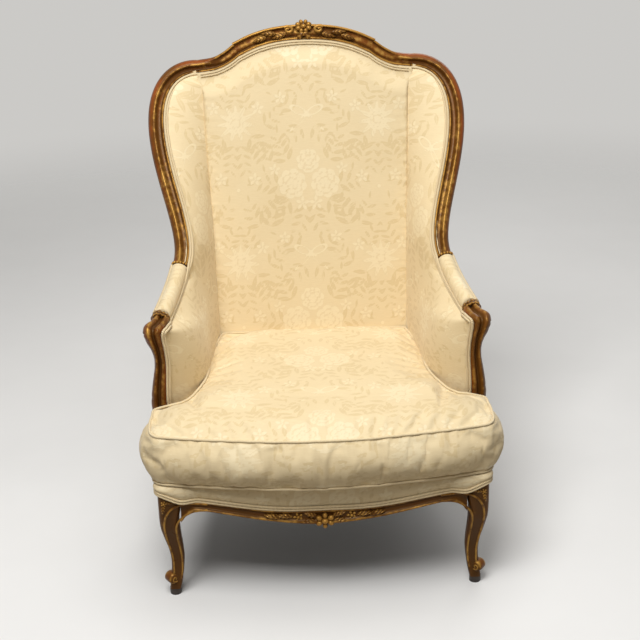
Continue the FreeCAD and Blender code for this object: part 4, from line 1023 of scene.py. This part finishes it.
def rail_middle(x, proud):
    """Point half way up the rail's channel."""
    place = np.array([x])
    z = (rail_edge(RAIL_BOTTOM, place)[0] + rail_edge(RAIL_SHOW_TOP, place)[0]) / 2
    return np.array((x, front_edge(x, proud), z))


def over_arm(point, face, inward, sunk, rise, turns):
    """Places over the arm from one side to the other, each with the way out of the wood."""
    made = []
    for turn in turns:
        across, over = inward * math.cos(turn), face * math.sin(turn)
        made.append((point - face * sunk + across * COLLAR_HALF_WIDTH + over * rise, unit(across + over)))
    return made


def arm_collars():
    """Row of small bosses behind the arm's pad, and a leafy edge in front of it."""
    points, tangent, _ = arm_path(np.array([ARM_PAD_START - 0.025, ARM_PAD_END + 0.085]))
    rear, front = zip(points, *section_axes(tangent))
    parts = []
    for centre, out in over_arm(*rear, 0.009, 0.010, np.linspace(-0.1, math.pi + 0.1, 9)):
        parts.append(ball(centre, np.cross(tangent[0], out), tangent[0], out, (0.0030, 0.0040, 0.0030)))
    for base, out in over_arm(*front, 0.0105, 0.0105, np.linspace(0.0, math.pi, 7)):
        parts.append(leaf(base, -tangent[1], out, 0.022, 0.0095, 0.0026, 2))
    return joined(parts)


# Upholstery

def seam_x(z):
    return SEAM_FOOT_X + (SEAM_TOP_X - SEAM_FOOT_X) * (z - RAIL_TOP) / CREST_JOINT[1]


def pad_front_y(z):
    knee, top = RAIL_TOP + PAD_FOOT_RISE, RAIL_TOP + CREST_MID_RISE
    raked = PAD_FOOT_Y + (face_y(top) - PAD_TOP_THICK - PAD_FOOT_Y) * (z - knee) / (top - knee)
    return np.where(z <= knee, PAD_FOOT_Y, raked)


def deck_z(y):
    return RAIL_TOP + DECK_FRONT_RISE - (y - FRONT_Y) * math.tan(DECK_SLOPE)


def edge_roll(distance, radius):
    """How far a padded face drops back near its edge."""
    return radius * (1 - np.sqrt(np.clip(1 - np.clip(1 - distance / radius, 0, 1) ** 2, 0, 1)))


def crest_under(x):
    """Lower edge of the crest at a place across it."""
    places = np.linspace(-0.26, 0.26, 261)
    lowest = np.full(len(places), np.inf)
    for bar in crest_path():
        edge = edge_point(*bar, 0.001, 0.0)
        edge = edge[np.argsort(edge[:, 0])]
        height = np.interp(places, edge[:, 0], edge[:, 2], left=np.inf, right=np.inf)
        lowest = np.minimum(lowest, height)
    inside = np.isfinite(lowest)
    return np.interp(x, places, evened(np.interp(places, places[inside], lowest[inside]), 3))


SHOULDER_RISE = 0.727
# Numbers of the side panel's rows at the front of the arm and at the foot of its support; the wing's are zero
ARM_ROW, LAST_ROW = 6, 14
# Where the outside panel starts along the wing, and how far along it stays tucked under the rail
PANEL_START, PANEL_TUCK = 0.16, 0.36


def inside_back():
    share, across = panel_grid(250, 146)
    low = deck_z(PAD_FOOT_Y) + 0.004
    high = crest_under(across * (seam_x(RAIL_TOP + SHOULDER_RISE) + 0.013))
    z = low + (high - low) * share
    half = seam_x(z) + 0.003 + 0.010 * ease((share - 0.93) / 0.06)
    x = across * half
    to_side, to_top = (1 - np.abs(across)) * half, (1 - share) * (high - low)
    crown = 0.010 * (1 - across ** 4) * np.sin(math.pi * np.clip((z - RAIL_TOP - 0.10) / 0.72, 0, 1)) ** 0.6
    tuck = 0.0012 * np.exp(-np.minimum(to_side, to_top) / 0.016) * wobble(z * 0.9, x, 0.007, 3)
    padded = pad_front_y(z) - crown + edge_roll(to_side, 0.007) + tuck
    y = padded + (face_y(z) - TOP_EDGE - padded) * (1 - ease((to_top - 0.008) / 0.045))
    return thick_sheet(np.stack([x, y, z], -1), np.array((0.0, 0.012, 0.0)), x, z - RAIL_TOP - 0.075)


def side_rows():
    """Outer edge of the inside wing and arm, the height of each row's seam with the back, and its sag."""
    bar = wing_path(np.linspace(0, 1, 96))
    edges = [edge_point(*bar, 0.0018, 0.0055)]
    index = [np.zeros(len(bar[0]))]
    t = np.linspace(ARM_PAD_START, ARM_PAD_END, 44)[1:]
    step = ARM_ROW * (t - ARM_PAD_START) / (ARM_PAD_END - ARM_PAD_START)
    edges.append(edge_point(*arm_path(t), 0.0015, 0.0055 + 0.0110 * ease(step)))
    index.append(step)
    deck = deck_z(FRONT_Y) + 0.002
    keep = front_path()[0][:, 2] > deck
    keep[:3] = False
    first = ARM_ROW + 0.2
    step = np.linspace(first, LAST_ROW, keep.sum())
    behind = 0.0075 + 0.009 * (1 - ease((step - first) / 1.5))
    bar = [values[keep] for values in front_path()]
    edges.append(edge_point(*bar, 0.0018, behind, front_facing()[keep]))
    index.append(step)
    edge, index = np.vstack(edges), np.concatenate(index)
    seam_z = np.where(index > 0, deck + (ARM_REAR_END[2] - deck) * (1 - index / LAST_ROW),
                      np.maximum(edge[:, 2] - 0.012, ARM_REAR_END[2]))
    sag = np.maximum(0.003, SIDE_SAG * ease((index - 2) / 10))
    rows = evened(resampled(np.column_stack([edge, seam_z, sag]), 0.0033), 12)
    return rows[:, :3], rows[:, 3], rows[:, 4]


def smoothed_middle(points, share, passes):
    """A panel's points evened out from row to row, except along its two edges."""
    away = (ease((1 - share) / 0.30) * ease(share / 0.12))[:, None]
    return points + (evened(points, passes) - points) * away


def side_grid(cols=64):
    """Points of the inside wing and arm, the way out of its face, and each column's share across it."""
    edge, seam_z, sag = side_rows()
    seam = np.stack([seam_x(seam_z) - 0.004, pad_front_y(seam_z) + 0.013, seam_z], -1)
    run = edge - seam
    across = unit(np.stack([-run[:, 1], run[:, 0], 0 * sag], -1))
    bends = smooth(RIB_BENDS, 10)
    share = np.linspace(0, 1, cols)
    pull = np.interp(share, bends[:, 0], bends[:, 1])
    points = seam[:, None] + run[:, None] * share[:, None]
    points = points - across[:, None] * (sag[:, None] * pull)[..., None]
    return smoothed_middle(points, share, 90), np.broadcast_to(across[:, None], points.shape), share


def inside_side():
    points, across, share = side_grid()
    along = distance_along(points[:, -1])
    length = np.linalg.norm(points[:, -1] - points[:, 0], axis=1)[:, None]
    to_edge = (1 - share) * length
    to_end = np.minimum(along, along[-1] - along)[:, None]
    crown = 0.007 * np.sin(math.pi * share) ** 0.7 * ease(to_end / 0.05)
    v = np.broadcast_to(along[:, None], to_edge.shape)
    tuck = 0.0013 * np.exp(-to_edge / 0.014) * wobble(v, 0.3 * to_edge, 0.006, 5)
    points = points - across * (crown + tuck - 0.5 * edge_roll(to_edge, 0.008))[..., None]
    u = points[..., 1] * -0.8 + points[..., 0] * 0.6
    return thick_sheet(points, across * 0.006, u + 0.03, points[..., 2] - RAIL_TOP)


def side_hessian():
    """Hessian stretched behind the inside wing and arm."""
    points, across, _ = side_grid(24)
    points = points[::4, 1:-1] + across[::4, 1:-1] * 0.0085
    return thick_sheet(points, across[::4, 1:-1] * 0.001, points[..., 1], points[..., 2])


def arm_pad():
    """Padded roll on top of the arm, closed at its ends."""
    t = np.linspace(ARM_PAD_START + 0.006, ARM_PAD_END - 0.006, 60)
    points, tangent, _ = arm_path(t)
    face, inward = section_axes(tangent)
    turn = np.linspace(-0.12, math.pi + 0.12, 36)
    place = np.linspace(-1, 1, len(t))
    end = (1 - np.abs(place) ** 9) ** 0.5
    half = (ARM_WIDTH / 2 + 0.0015) * (0.93 + 0.07 * end)
    crown = (ARM_PAD_HEIGHT + 0.008) * (0.72 + 0.28 * end)
    low = points - face * (ARM_PAD_HEIGHT - 0.0015)
    verts = (low[:, None] + inward[:, None] * (half[:, None] * np.cos(turn))[..., None]
             + face[:, None] * (crown[:, None] * np.sin(turn))[..., None])
    along = distance_along(points)
    u = np.broadcast_to((turn * ARM_WIDTH / 2)[None, :], verts.shape[:2]).ravel()
    v = np.broadcast_to(along[:, None], verts.shape[:2]).ravel()
    return shape(verts, capped(len(t), len(turn)), **damask_looks(u + 0.11, v + 0.12))


def outside_side():
    """Outside panel from the stile to the back of the show-wood, tucked under the rail at its top."""
    t = np.linspace(PANEL_START, 1, 150)
    first = elbow_end()
    tuck = 1 - ease((t - PANEL_START) / PANEL_TUCK)
    arm = arm_path(np.linspace(0.0, ARM_PAD_END, 70)[1:])
    support = [values[first:] for values in front_path()]
    edges = []
    for bar, depth, facing, tucked in ((wing_path(t), WOOD_DEPTH, BACK_FACE, tuck),
                                       (arm, WOOD_DEPTH, BACK_FACE, 0.0),
                                       (support, SUPPORT_DEPTH, front_facing()[first:], 0.0)):
        across = -0.008 * tucked - (bar[2] / 2 + 0.006) * (1 - tucked)
        behind = 0.5 * depth * tucked + (depth + 0.003) * (1 - tucked)
        edges.append(edge_point(*bar, across, behind, facing))
    edge = np.vstack(edges)
    low = RAIL_TOP + 0.001
    fall = np.linspace(0, 1, len(edge))
    z = low + (edge[0, 2] + 0.018 - low) * (1 - fall) ** 1.15
    seam = np.stack([np.full_like(z, STILE_X + STILE_WIDTH / 2 + 0.003), face_y(z) + 0.006, z], -1)
    run = edge - seam
    across = unit(np.stack([-run[:, 1], run[:, 0], 0 * z], -1))[:, None]
    share = np.linspace(0, 1, 110)
    bow = (0.003 + 0.011 * ease((fall - 0.40) / 0.2))[:, None] * np.sin(math.pi * share)
    points = seam[:, None] + run[:, None] * share[:, None] + across * bow[..., None]
    points = smoothed_middle(points, share, 300)
    return thick_sheet(points, -across * 0.003, -points[..., 1] + 0.05, points[..., 2])


def outside_back():
    share, across = panel_grid(180, 110)
    half = STILE_X + 0.004
    low = RAIL_TOP + 0.001
    x = across * half
    high = crest_under(x) - 0.002
    z = low + (high - low) * share
    crown = 0.004 * (1 - across ** 4) * np.sin(math.pi * share) ** 0.5
    y = face_y(z) + (WOOD_DEPTH + 0.0035) / math.cos(RAKE) + crown
    return thick_sheet(np.stack([x, y, z], -1), np.array((0.0, -0.003, 0.0)), x, z - RAIL_TOP - 0.075)


GIMP_SECTION = [(-0.25 + 0.25 * math.cos(a), 1 - math.sin(a)) for a in np.linspace(math.pi, 0, 7)]
GIMP_SECTION += [(0.25 + 0.25 * math.cos(a), 1 - math.sin(a)) for a in np.linspace(math.pi, 0, 7)[1:]]
GIMP_WIDTH, GIMP_HEIGHT = 0.0105, 0.0036


def gimp_strip(points, face):
    """Double welt along a path, its back turned away from face."""
    face, side = section_axes(tangents(points), face)
    rows = np.array(GIMP_SECTION)
    across, behind = rows[:, 0] * GIMP_WIDTH, (rows[:, 1] - 1) * GIMP_HEIGHT
    verts = points[:, None] + side[:, None] * across[:, None] - face[:, None] * behind[:, None]
    along = np.repeat(distance_along(points), len(rows))
    return shape(verts, capped(len(points), len(rows)), along=along)


def crest_gimp():
    """Welt under the crest."""
    x = np.linspace(-0.239, 0.239, 134)
    z = crest_under(x) - 0.0048
    path = np.stack([x, face_y(z) - TOP_EDGE, z], -1)
    return gimp_strip(path, np.broadcast_to(BACK_FACE, path.shape))


def side_gimp():
    """Welt along the inner edge of the wing, arm, elbow and support."""
    bar = wing_path(np.linspace(0.0, 1, 90))
    face, inward = section_axes(bar[1])
    path, faces = [edge_point(*bar, 0.0042, 0.0035)], [face + inward * 0.5]
    t = np.linspace(ARM_PAD_START, ARM_PAD_END, 40)[1:]
    bar = arm_path(t)
    face, inward = section_axes(bar[1])
    path.append(edge_point(*bar, 0.0030, 0.0035 + 0.012 * ease((t - ARM_PAD_START) / 0.15)))
    faces.append(face * 0.5 + inward)
    keep = front_path()[0][:, 2] > deck_z(FRONT_Y)
    keep[:5] = False
    bar, facing = [values[keep] for values in front_path()], front_facing()[keep]
    face, inward = section_axes(bar[1], facing)
    share = ease(np.arange(len(facing)) / 12)
    path.append(edge_point(*bar, 0.0036, 0.0155 - 0.0100 * share, facing))
    faces.append(face + inward * (1.5 - share)[:, None])
    rows = evened(resampled(np.column_stack([np.vstack(path), np.vstack(faces)]), 0.004), 4)
    return gimp_strip(rows[:, :3], rows[:, 3:])


def arm_pad_gimp():
    """Welt along the outer edge of the arm pad."""
    t = np.linspace(ARM_PAD_START, ARM_PAD_END, 50)
    points, tangent, width = arm_path(t)
    face, inward = section_axes(tangent)
    path = points - inward * (width / 2 + 0.0006)[:, None] - face * 0.0105
    return gimp_strip(path, face * 0.2 - inward)


# Seat border and deck

BORDER_CORNER_X, BORDER_CORNER_RADIUS, BORDER_END_Y = 0.318, 0.020, -0.206


def border_path():
    """Plan of the seat's front edge, from the left support round the front to the right one."""
    x = np.linspace(0, BORDER_CORNER_X, 60)
    front = np.stack([x, front_edge(x, 0.003 + 0.009 * ease((x - 0.255) / 0.035))], -1)
    turn = np.linspace(-math.pi / 2, 0, 10)[1:]
    centre = np.array((BORDER_CORNER_X, front[-1, 1] + BORDER_CORNER_RADIUS))
    corner = centre + BORDER_CORNER_RADIUS * np.stack([np.cos(turn), np.sin(turn)], -1)
    y = np.linspace(corner[-1, 1], BORDER_END_Y, 14)[1:]
    side = np.stack([BORDER_CORNER_X + BORDER_CORNER_RADIUS - 0.05 * (y - corner[-1, 1]), y], -1)
    right = np.vstack([front, corner, side])
    left = right[:0:-1] * (-1, 1)
    return np.vstack([left, right])


def border_low(plan):
    """Height of the welt under the border: on the rail's drawn edge, rising round the corners."""
    x = np.abs(plan[:, 0])
    low = rail_edge(RAIL_SHOW_TOP, np.clip(x, 0, LEG_CORNER_X)) + 0.0055
    low = low + 0.022 * ease((x - 0.280) / 0.050) + 0.003 * ease((plan[:, 1] + 0.32) / 0.08)
    return evened(low, 8)


def seat_border():
    """Padded front of the seat from its welt up to the deck, with its top turned back."""
    plan = border_path()
    low = border_low(plan)
    high = RAIL_TOP + DECK_FRONT_RISE + DECK_ROLL + 0.001
    flat = np.column_stack([plan, 0 * low])
    out = np.cross(tangents(flat), UP)[:, None]
    share = np.linspace(0, 1, 20)
    rise, over = np.clip(share / 0.72, 0, 1), np.clip((share - 0.72) / 0.28, 0, 1)
    z = low[:, None] + (high - low)[:, None] * rise - 0.004 * over
    bulge = 0.007 * np.sin(math.pi * np.clip(share / 0.80, 0, 1)) - 0.030 * over
    points = flat[:, None] + out * bulge[:, None] + UP * z[..., None]
    along = distance_along(plan)
    u = np.broadcast_to((along - along[-1] / 2)[:, None], z.shape)
    v = np.broadcast_to((share * 0.05)[None, :], z.shape)
    return thick_sheet(points, -out * 0.004, u, v + 0.1)


def seat_gimp():
    plan = border_path()
    low = border_low(plan) - 0.001
    path = resampled(np.column_stack([plan, low]), 0.004)
    out = np.cross(tangents(path * (1, 1, 0)), UP)
    return gimp_strip(path + out * 0.003, out)


# Half the deck's width from front to back: y and half width
DECK_SIDE = ((-0.332, 0.318), (-0.218, 0.318), (-0.206, 0.302), (-0.122, 0.276),
             (-0.060, 0.262), (0.015, 0.253), (0.100, 0.246), (0.192, 0.236))


def seat_deck():
    """Covered seat under the cushion."""
    share, across = panel_grid(150, 130)
    side = np.array(DECK_SIDE)
    y = side[0, 0] + (side[-1, 0] - side[0, 0]) * share
    half = np.interp(y, side[:, 0], side[:, 1])
    x = across * half
    y = y + FRONT_BOW * (x / SEAT_HALF_WIDTH) ** 2 * (1 - share)
    nearest = np.minimum((1 - np.abs(across)) * half, np.minimum(share, 1 - share) * 0.5)
    roll = DECK_ROLL * ease((-0.28 - y) / 0.04)
    z = deck_z(y) + roll + 0.0022 - edge_roll(nearest, 0.010) + 0.0008 * wobble(x, y, 0.05, 7)
    return thick_sheet(np.stack([x, y, z], -1), np.array((0.0, 0.0, -0.010)), x, y)


# Loose cushion

CUSHION_SIDE = ((0.2135, 0.1775), (0.2280, 0.1002), (0.2375, 0.0145), (0.2445, -0.0604),
                (0.2575, -0.1220), (0.2750, -0.1720), (0.2940, -0.1990))
CUSHION_EAR = ((0.3080, -0.2030), (0.3400, -0.2040), (0.3510, -0.2140), (0.3530, -0.2940),
               (0.3460, -0.3260), (0.3310, -0.3415))
CUSHION_FRONT = ((0.2130, -0.3660), (0.0810, -0.3860), (0.0, -0.3885))
CUSHION_BACK = ((0.0, 0.1790), (0.1, 0.1790), (0.2060, 0.1790))
OUTLINE_STEP, SEAM_STEP = 0.006, 0.002
# Voxel of the even cover, frames that the filling blows it up for, and how far it may move
COVER_VOXEL, FILL_FRAMES, FILL_LIMIT = 0.006, 20, 0.024
COVER_CLOTH = {
    "vertex_group_mass": "seams", "quality": 5, "mass": 0.25, "tension_stiffness": 12,
    "compression_stiffness": 12, "bending_stiffness": 0.35, "shrink_min": -0.05, "use_pressure": True,
    "uniform_pressure_force": 6.0,
}


def cushion_outline():
    """Closed T-shaped outline of the seam, from the middle of the back round to the right."""
    front = smooth((CUSHION_EAR[-1],) + CUSHION_FRONT, 12)[1:]
    right = np.vstack([CUSHION_BACK, smooth(CUSHION_SIDE, 10), smooth(CUSHION_EAR, 8), front])
    ring = np.vstack([right, right[-2:0:-1] * (-1, 1), right[:1]])
    return resampled(np.column_stack([ring, np.zeros(len(ring))]), OUTLINE_STEP)[:-1, :2]


def ring_outward(ring):
    """Outward directions round the closed outline."""
    run = np.roll(ring, -1, 0) - np.roll(ring, 1, 0)
    outward = unit(np.stack([run[:, 1], -run[:, 0]], -1))
    return outward * np.sign(np.sum(outward * (ring - ring.mean(0)), 1).sum())


def cushion_base():
    """Cushion before it is filled, tilted with the deck, its seams drawn in."""
    ring = cushion_outline()
    count = len(ring)
    outward = ring_outward(ring)
    visible = ease((0.05 - ring[:, 1]) / 0.15)[:, None]
    lower = ring - outward * visible * CUSHION_LOW_DRAW
    upper = ring - outward * visible * CUSHION_TOP_DRAW
    front = 0.004 * ease((-0.27 - lower[:, 1]) / 0.06)
    low = np.column_stack([lower, deck_z(lower[:, 1]) + 0.007 + front])
    droop = 1 - 0.6 * ease((np.abs(upper[:, 0]) - 0.30) / 0.05)
    rise = CUSHION_EAR_RISE * ease((upper[:, 1] + 0.35) / 0.14) * droop
    rise = rise + CUSHION_REAR_RISE * np.clip((upper[:, 1] + 0.20) / 0.38, 0, 1)
    high = np.column_stack([upper, deck_z(upper[:, 1]) + CUSHION_HEIGHT - 0.006 + rise])
    sides = [[i, (i + 1) % count, (i + 1) % count + count, i + count] for i in range(count)]
    return np.concatenate([low, high]), sides + [list(range(count))[::-1], list(range(count, 2 * count))]


def evaluated_mesh(obj):
    graph = bpy.context.evaluated_depsgraph_get()
    return bpy.data.meshes.new_from_object(obj.evaluated_get(graph))


def vectors(data, name):
    """Vectors of one of a mesh's collections as rows."""
    values = np.zeros(len(data) * 3)
    data.foreach_get(name, values)
    return values.reshape(-1, 3)


def search_tree(points):
    """Tree that finds the point nearest to a place."""
    tree = kdtree.KDTree(len(points))
    for index, point in enumerate(points):
        tree.insert(point, index)
    tree.balance()
    return tree


def filled(verts, faces, seams):
    """Cloth cover blown up inside its seams, which stay put. Returns start points, end points and faces."""
    cover = linked("cover_start", new_mesh("cover_start", verts.tolist(), faces))
    remesh = cover.modifiers.new("even", "REMESH")
    remesh.mode = "VOXEL"
    remesh.voxel_size = COVER_VOXEL
    remeshed = evaluated_mesh(cover)
    cover.modifiers.clear()
    cover.data = remeshed
    start = vectors(remeshed.vertices, "co")
    tree = search_tree(seams)
    near = np.array([tree.find(point)[2] for point in start])
    group = cover.vertex_groups.new(name="seams")
    for index in np.nonzero(near < COVER_VOXEL * 0.75)[0]:
        group.add([int(index)], 1.0, "REPLACE")
    end = start
    cloth = cover.modifiers.new("cloth", "CLOTH")
    for name, value in COVER_CLOTH.items():
        setattr(cloth.settings, name, value)
    cloth.settings.effector_weights.gravity = 0
    cloth.collision_settings.use_collision = False
    for step in range(1, FILL_FRAMES + 1):
        bpy.context.scene.frame_set(step)
    end = vectors(evaluated_mesh(cover).vertices, "co")
    bpy.context.scene.frame_set(1)
    moved = end - start
    far = np.linalg.norm(moved, axis=1, keepdims=True)
    end = start + moved * np.minimum(1, FILL_LIMIT / np.maximum(far, 1e-9))
    loops = [list(polygon.vertices) for polygon in remeshed.polygons]
    bpy.data.objects.remove(cover)
    return start, end, loops


def finer(points, loops, extra):
    """The same surface after one subdivision, with a vector carried along."""
    mesh = new_mesh("finer", points.tolist(), loops)
    layer = mesh.attributes.new("extra", "FLOAT_VECTOR", "POINT")
    layer.data.foreach_set("vector", extra.astype(np.float32).ravel())
    holder = linked("finer", mesh)
    holder.modifiers.new("finer", "SUBSURF").levels = 1
    made = evaluated_mesh(holder)
    faces = [list(polygon.vertices) for polygon in made.polygons]
    bpy.data.objects.remove(holder)
    return vectors(made.vertices, "co"), faces, vectors(made.attributes["extra"].data, "vector")


def cushion():
    """Filled cushion with its boxing swollen between the seams. Also returns where its seams ended up."""
    verts, faces = cushion_base()
    count = len(verts) // 2
    upper = verts[count:]
    rings = [resampled(np.vstack([ring, ring[:1]]), SEAM_STEP) for ring in (verts[:count], upper)]
    start, end, loops = filled(verts, faces, np.vstack(rings))
    points, loops, flat = finer(end, loops, start)
    tree = search_tree(upper * (1, 1, 0))
    along = distance_along(upper[:, :2])
    found = [tree.find((x, y, 0)) for x, y in flat[:, :2]]
    nearest = np.array([index for _, index, _ in found])
    inset = np.array([distance for _, _, distance in found])
    boxing = along[nearest]
    height = flat[:, 2] - deck_z(flat[:, 1])
    edge = (height > 0.008) & (height < CUSHION_HEIGHT - 0.010)
    outward = np.column_stack([ring_outward(upper[:, :2]), np.zeros(count)])[nearest]
    share = np.clip((height - 0.004) / (CUSHION_HEIGHT - 0.010), 0, 1)
    visible = ease((0.02 - flat[:, 1]) / 0.12) * ease((0.03 - inset) / 0.02)
    swell = CUSHION_BULGE * np.sin(math.pi * share) ** 0.8
    pucker = 0.0016 * np.sin(math.pi * share) ** 0.5 * wobble(boxing, 0.25 * height, 0.011, 11)
    points = points + outward * (visible * (swell + pucker))[:, None]
    u = np.where(edge, boxing - along[-1] / 2, flat[:, 0])
    v = np.where(edge, height + 0.15, flat[:, 1] + 0.16)
    seams = [follow(ring[::2], flat, points) for ring in rings]
    return shape(points, loops, **damask_looks(u, v)), seams


def follow(points, start, end):
    """Moves a seam with the cover next to it."""
    tree = search_tree(start)
    moved = []
    for point in points:
        found = [index for _, index, _ in tree.find_n(point, 4)]
        moved.append(point + (end[found] - start[found]).mean(0))
    return np.array(moved)


def cushion_piping(seams):
    parts = []
    for path, lift in zip(seams, (-0.0005, -0.0010)):
        for _ in range(3):
            path = (np.roll(path[:-1], 1, 0) + path[:-1] + np.roll(path[:-1], -1, 0)) / 3
            path = np.vstack([path, path[:1]])
        parts.append(tube(np.vstack([path, path[1:2]]) + UP * lift, 0.0027, 8))
    return joined(parts)


# Build

def wing_wood():
    """Wing rail whose red ground fades towards the arm, where more gold is left."""
    t = np.linspace(0, 1, 130)
    points, tangent, width = wing_path(t)
    made = moulded(points, tangent, section_rows(MOULDING), width, WOOD_DEPTH)
    fade = np.repeat(1 - 0.75 * ease((t - 0.45) / 0.35), len(made["verts"]) // len(t))
    looks = made["attributes"]
    looks["bole"] = looks["bole"] * fade
    looks["gild"] = looks["gild"] + 0.25 * (1 - fade)
    return made


def build_wood():
    piece("crest_show_wood", crest_wood(), WOOD, replaces=("crest_rail",))
    piece("crest_carving", crest_carving(), WOOD)
    pair("wing_show_wood", wing_wood(), WOOD, "wing_rail")
    pair("arm_show_wood", arm_wood(), WOOD, "arm")
    pair("arm_collar_carving", arm_collars(), WOOD)
    pair("support_show_wood", support_wood(), WOOD, "arm_support")
    pair("cabriole_leg", front_leg(), WOOD, "front_leg")
    piece("front_rail_show_wood", front_rail(), WOOD, replaces=("front_seat_rail",))
    piece("front_rail_carving", rail_carving(), WOOD)


def build_upholstery():
    pads = [piece("inside_back_cover", inside_back(), DAMASK, replaces=("inside_back_pad",))]
    pads += pair("inside_side_cover", inside_side(), DAMASK, "inside_wing_arm_pad")
    hessian = side_hessian()
    for made in pair("side_hessian_sheet", hessian, NODE_MATERIALS["hessian"], "side_hessian"):
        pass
    pads += pair("arm_pad_cover", arm_pad(), DAMASK, "arm_pad")
    pads += pair("outside_side_cover", outside_side(), DAMASK, "outside_panel")
    pads.append(piece("outside_back_cover", outside_back(), DAMASK,
                      replaces=("outside_back_panel",)))
    pads.append(piece("seat_border_cover", seat_border(), DAMASK, replaces=("front_border",)))
    pads.append(piece("seat_deck_cover", seat_deck(), NODE_MATERIALS["deck_cloth"],
                      replaces=("seat_deck_pad",)))
    piece("crest_welt", crest_gimp(), GIMP)
    pair("side_welt", side_gimp(), GIMP)
    pair("arm_pad_welt", arm_pad_gimp(), GIMP)
    piece("seat_welt", seat_gimp(), GIMP)


def build_cushion():
    form, seams = cushion()
    cover = piece("seat_cushion", form, DAMASK, body="cushion",
                  replaces=("cushion_cover", "cushion_filling"))
    piece("cushion_piping", cushion_piping(seams), PIPING, body="cushion")


# Stage

def background_rays(tree):
    """One where the camera, or a reflection or glass, looks at the background, else zero."""
    path = tree.nodes.new("ShaderNodeLightPath")
    total = path.outputs["Is Camera Ray"]
    for name in ("Is Glossy Ray", "Is Transmission Ray"):
        either = tree.nodes.new("ShaderNodeMath")
        either.operation = "MAXIMUM"
        tree.links.new(total, either.inputs[0])
        tree.links.new(path.outputs[name], either.inputs[1])
        total = either.outputs[0]
    return total


def stage():
    """Pale floor that fades into the background, so that no wall stands in the way of a view."""
    graph = Graph("floor")
    pale = graph.mix(graph.noise(3.0), (0.74, 0.73, 0.71, 1), (0.80, 0.79, 0.77, 1))
    far = graph.add("VectorMath", {0: graph.place()}, operation="LENGTH").outputs["Value"]
    graph.set(Base_Color=graph.mix(background_rays(graph.tree), FLOOR_BOUNCE, pale), Roughness=0.8,
              Alpha=graph.ramp(far, 1.6, 4.2, 1.0, 0.0))
    mesh = new_mesh("floor", [(-5, -5, 0), (5, -5, 0), (5, 5, 0), (-5, 5, 0)], [(0, 1, 2, 3)])
    mesh.materials.append(graph.material)
    floor = linked("floor", mesh)


def lamp(name, place, size, power):
    """Square area lamp that points at the middle of the chair."""
    data = bpy.data.lights.new(name, "AREA")
    data.size = size
    data.energy = power
    made = linked(name, data)
    made.location = place
    made.rotation_euler = (LAMP_TARGET - Vector(place)).to_track_quat("-Z", "Y").to_euler()


CAMERA_PLACE = (-0.068, -2.684, 1.544)
CAMERA_YAW, CAMERA_PITCH, CAMERA_ROLL = math.radians(1.67), math.radians(21.48), math.radians(-1.46)
FOCAL_PIXELS, PHOTO_PIXELS, SENSOR_MM = 1317.9, 640, 36.0
AMBIENT, BACKDROP, FLOOR_BOUNCE = 0.15, (0.60, 0.59, 0.57, 1), (0.30, 0.27, 0.23, 1)
LAMP_TARGET = Vector((0, 0, 0.5))
# Name, place, size and power of each lamp
LAMPS = (
    ("key", (-0.6, -1.7, 3.3), 1.6, 109),
    ("fill", (2.2, -2.0, 1.9), 2.2, 4),
    ("top", (0.2, -0.2, 3.3), 1.8, 26),
    ("rear", (0.9, 2.7, 2.3), 2.2, 24),
)


def camera():
    """Camera that was fitted to the photograph."""
    ahead = math.cos(CAMERA_PITCH)
    forward = np.array((math.sin(CAMERA_YAW) * ahead, math.cos(CAMERA_YAW) * ahead, -math.sin(CAMERA_PITCH)))
    level = np.array((math.cos(CAMERA_YAW), -math.sin(CAMERA_YAW), 0.0))
    right = level * math.cos(CAMERA_ROLL) + np.cross(level, forward) * math.sin(CAMERA_ROLL)
    up = np.cross(right, forward)
    data = bpy.data.cameras.new("camera")
    data.sensor_width = SENSOR_MM
    data.lens = FOCAL_PIXELS / PHOTO_PIXELS * SENSOR_MM
    made = linked("camera", data)
    turn = Matrix((right, up, -forward)).transposed().to_4x4()
    made.matrix_world = Matrix.Translation(CAMERA_PLACE) @ turn
    bpy.context.scene.camera = made


def light():
    bpy.context.scene.view_settings.view_transform = "Standard"
    world = bpy.data.worlds.new("studio")
    world.use_nodes = True
    tree = world.node_tree
    mixed = tree.nodes.new("ShaderNodeMix")
    mixed.data_type = "RGBA"
    mixed.inputs[6].default_value = (AMBIENT, AMBIENT * 0.98, AMBIENT * 0.95, 1)
    mixed.inputs[7].default_value = BACKDROP
    tree.links.new(background_rays(tree), mixed.inputs[0])
    tree.links.new(mixed.outputs[2], tree.nodes["Background"].inputs["Color"])
    bpy.context.scene.world = world
    for row in LAMPS:
        lamp(*row)


dress_nodes()
build_wood()
build_upholstery()
build_cushion()
stage()
light()
camera()
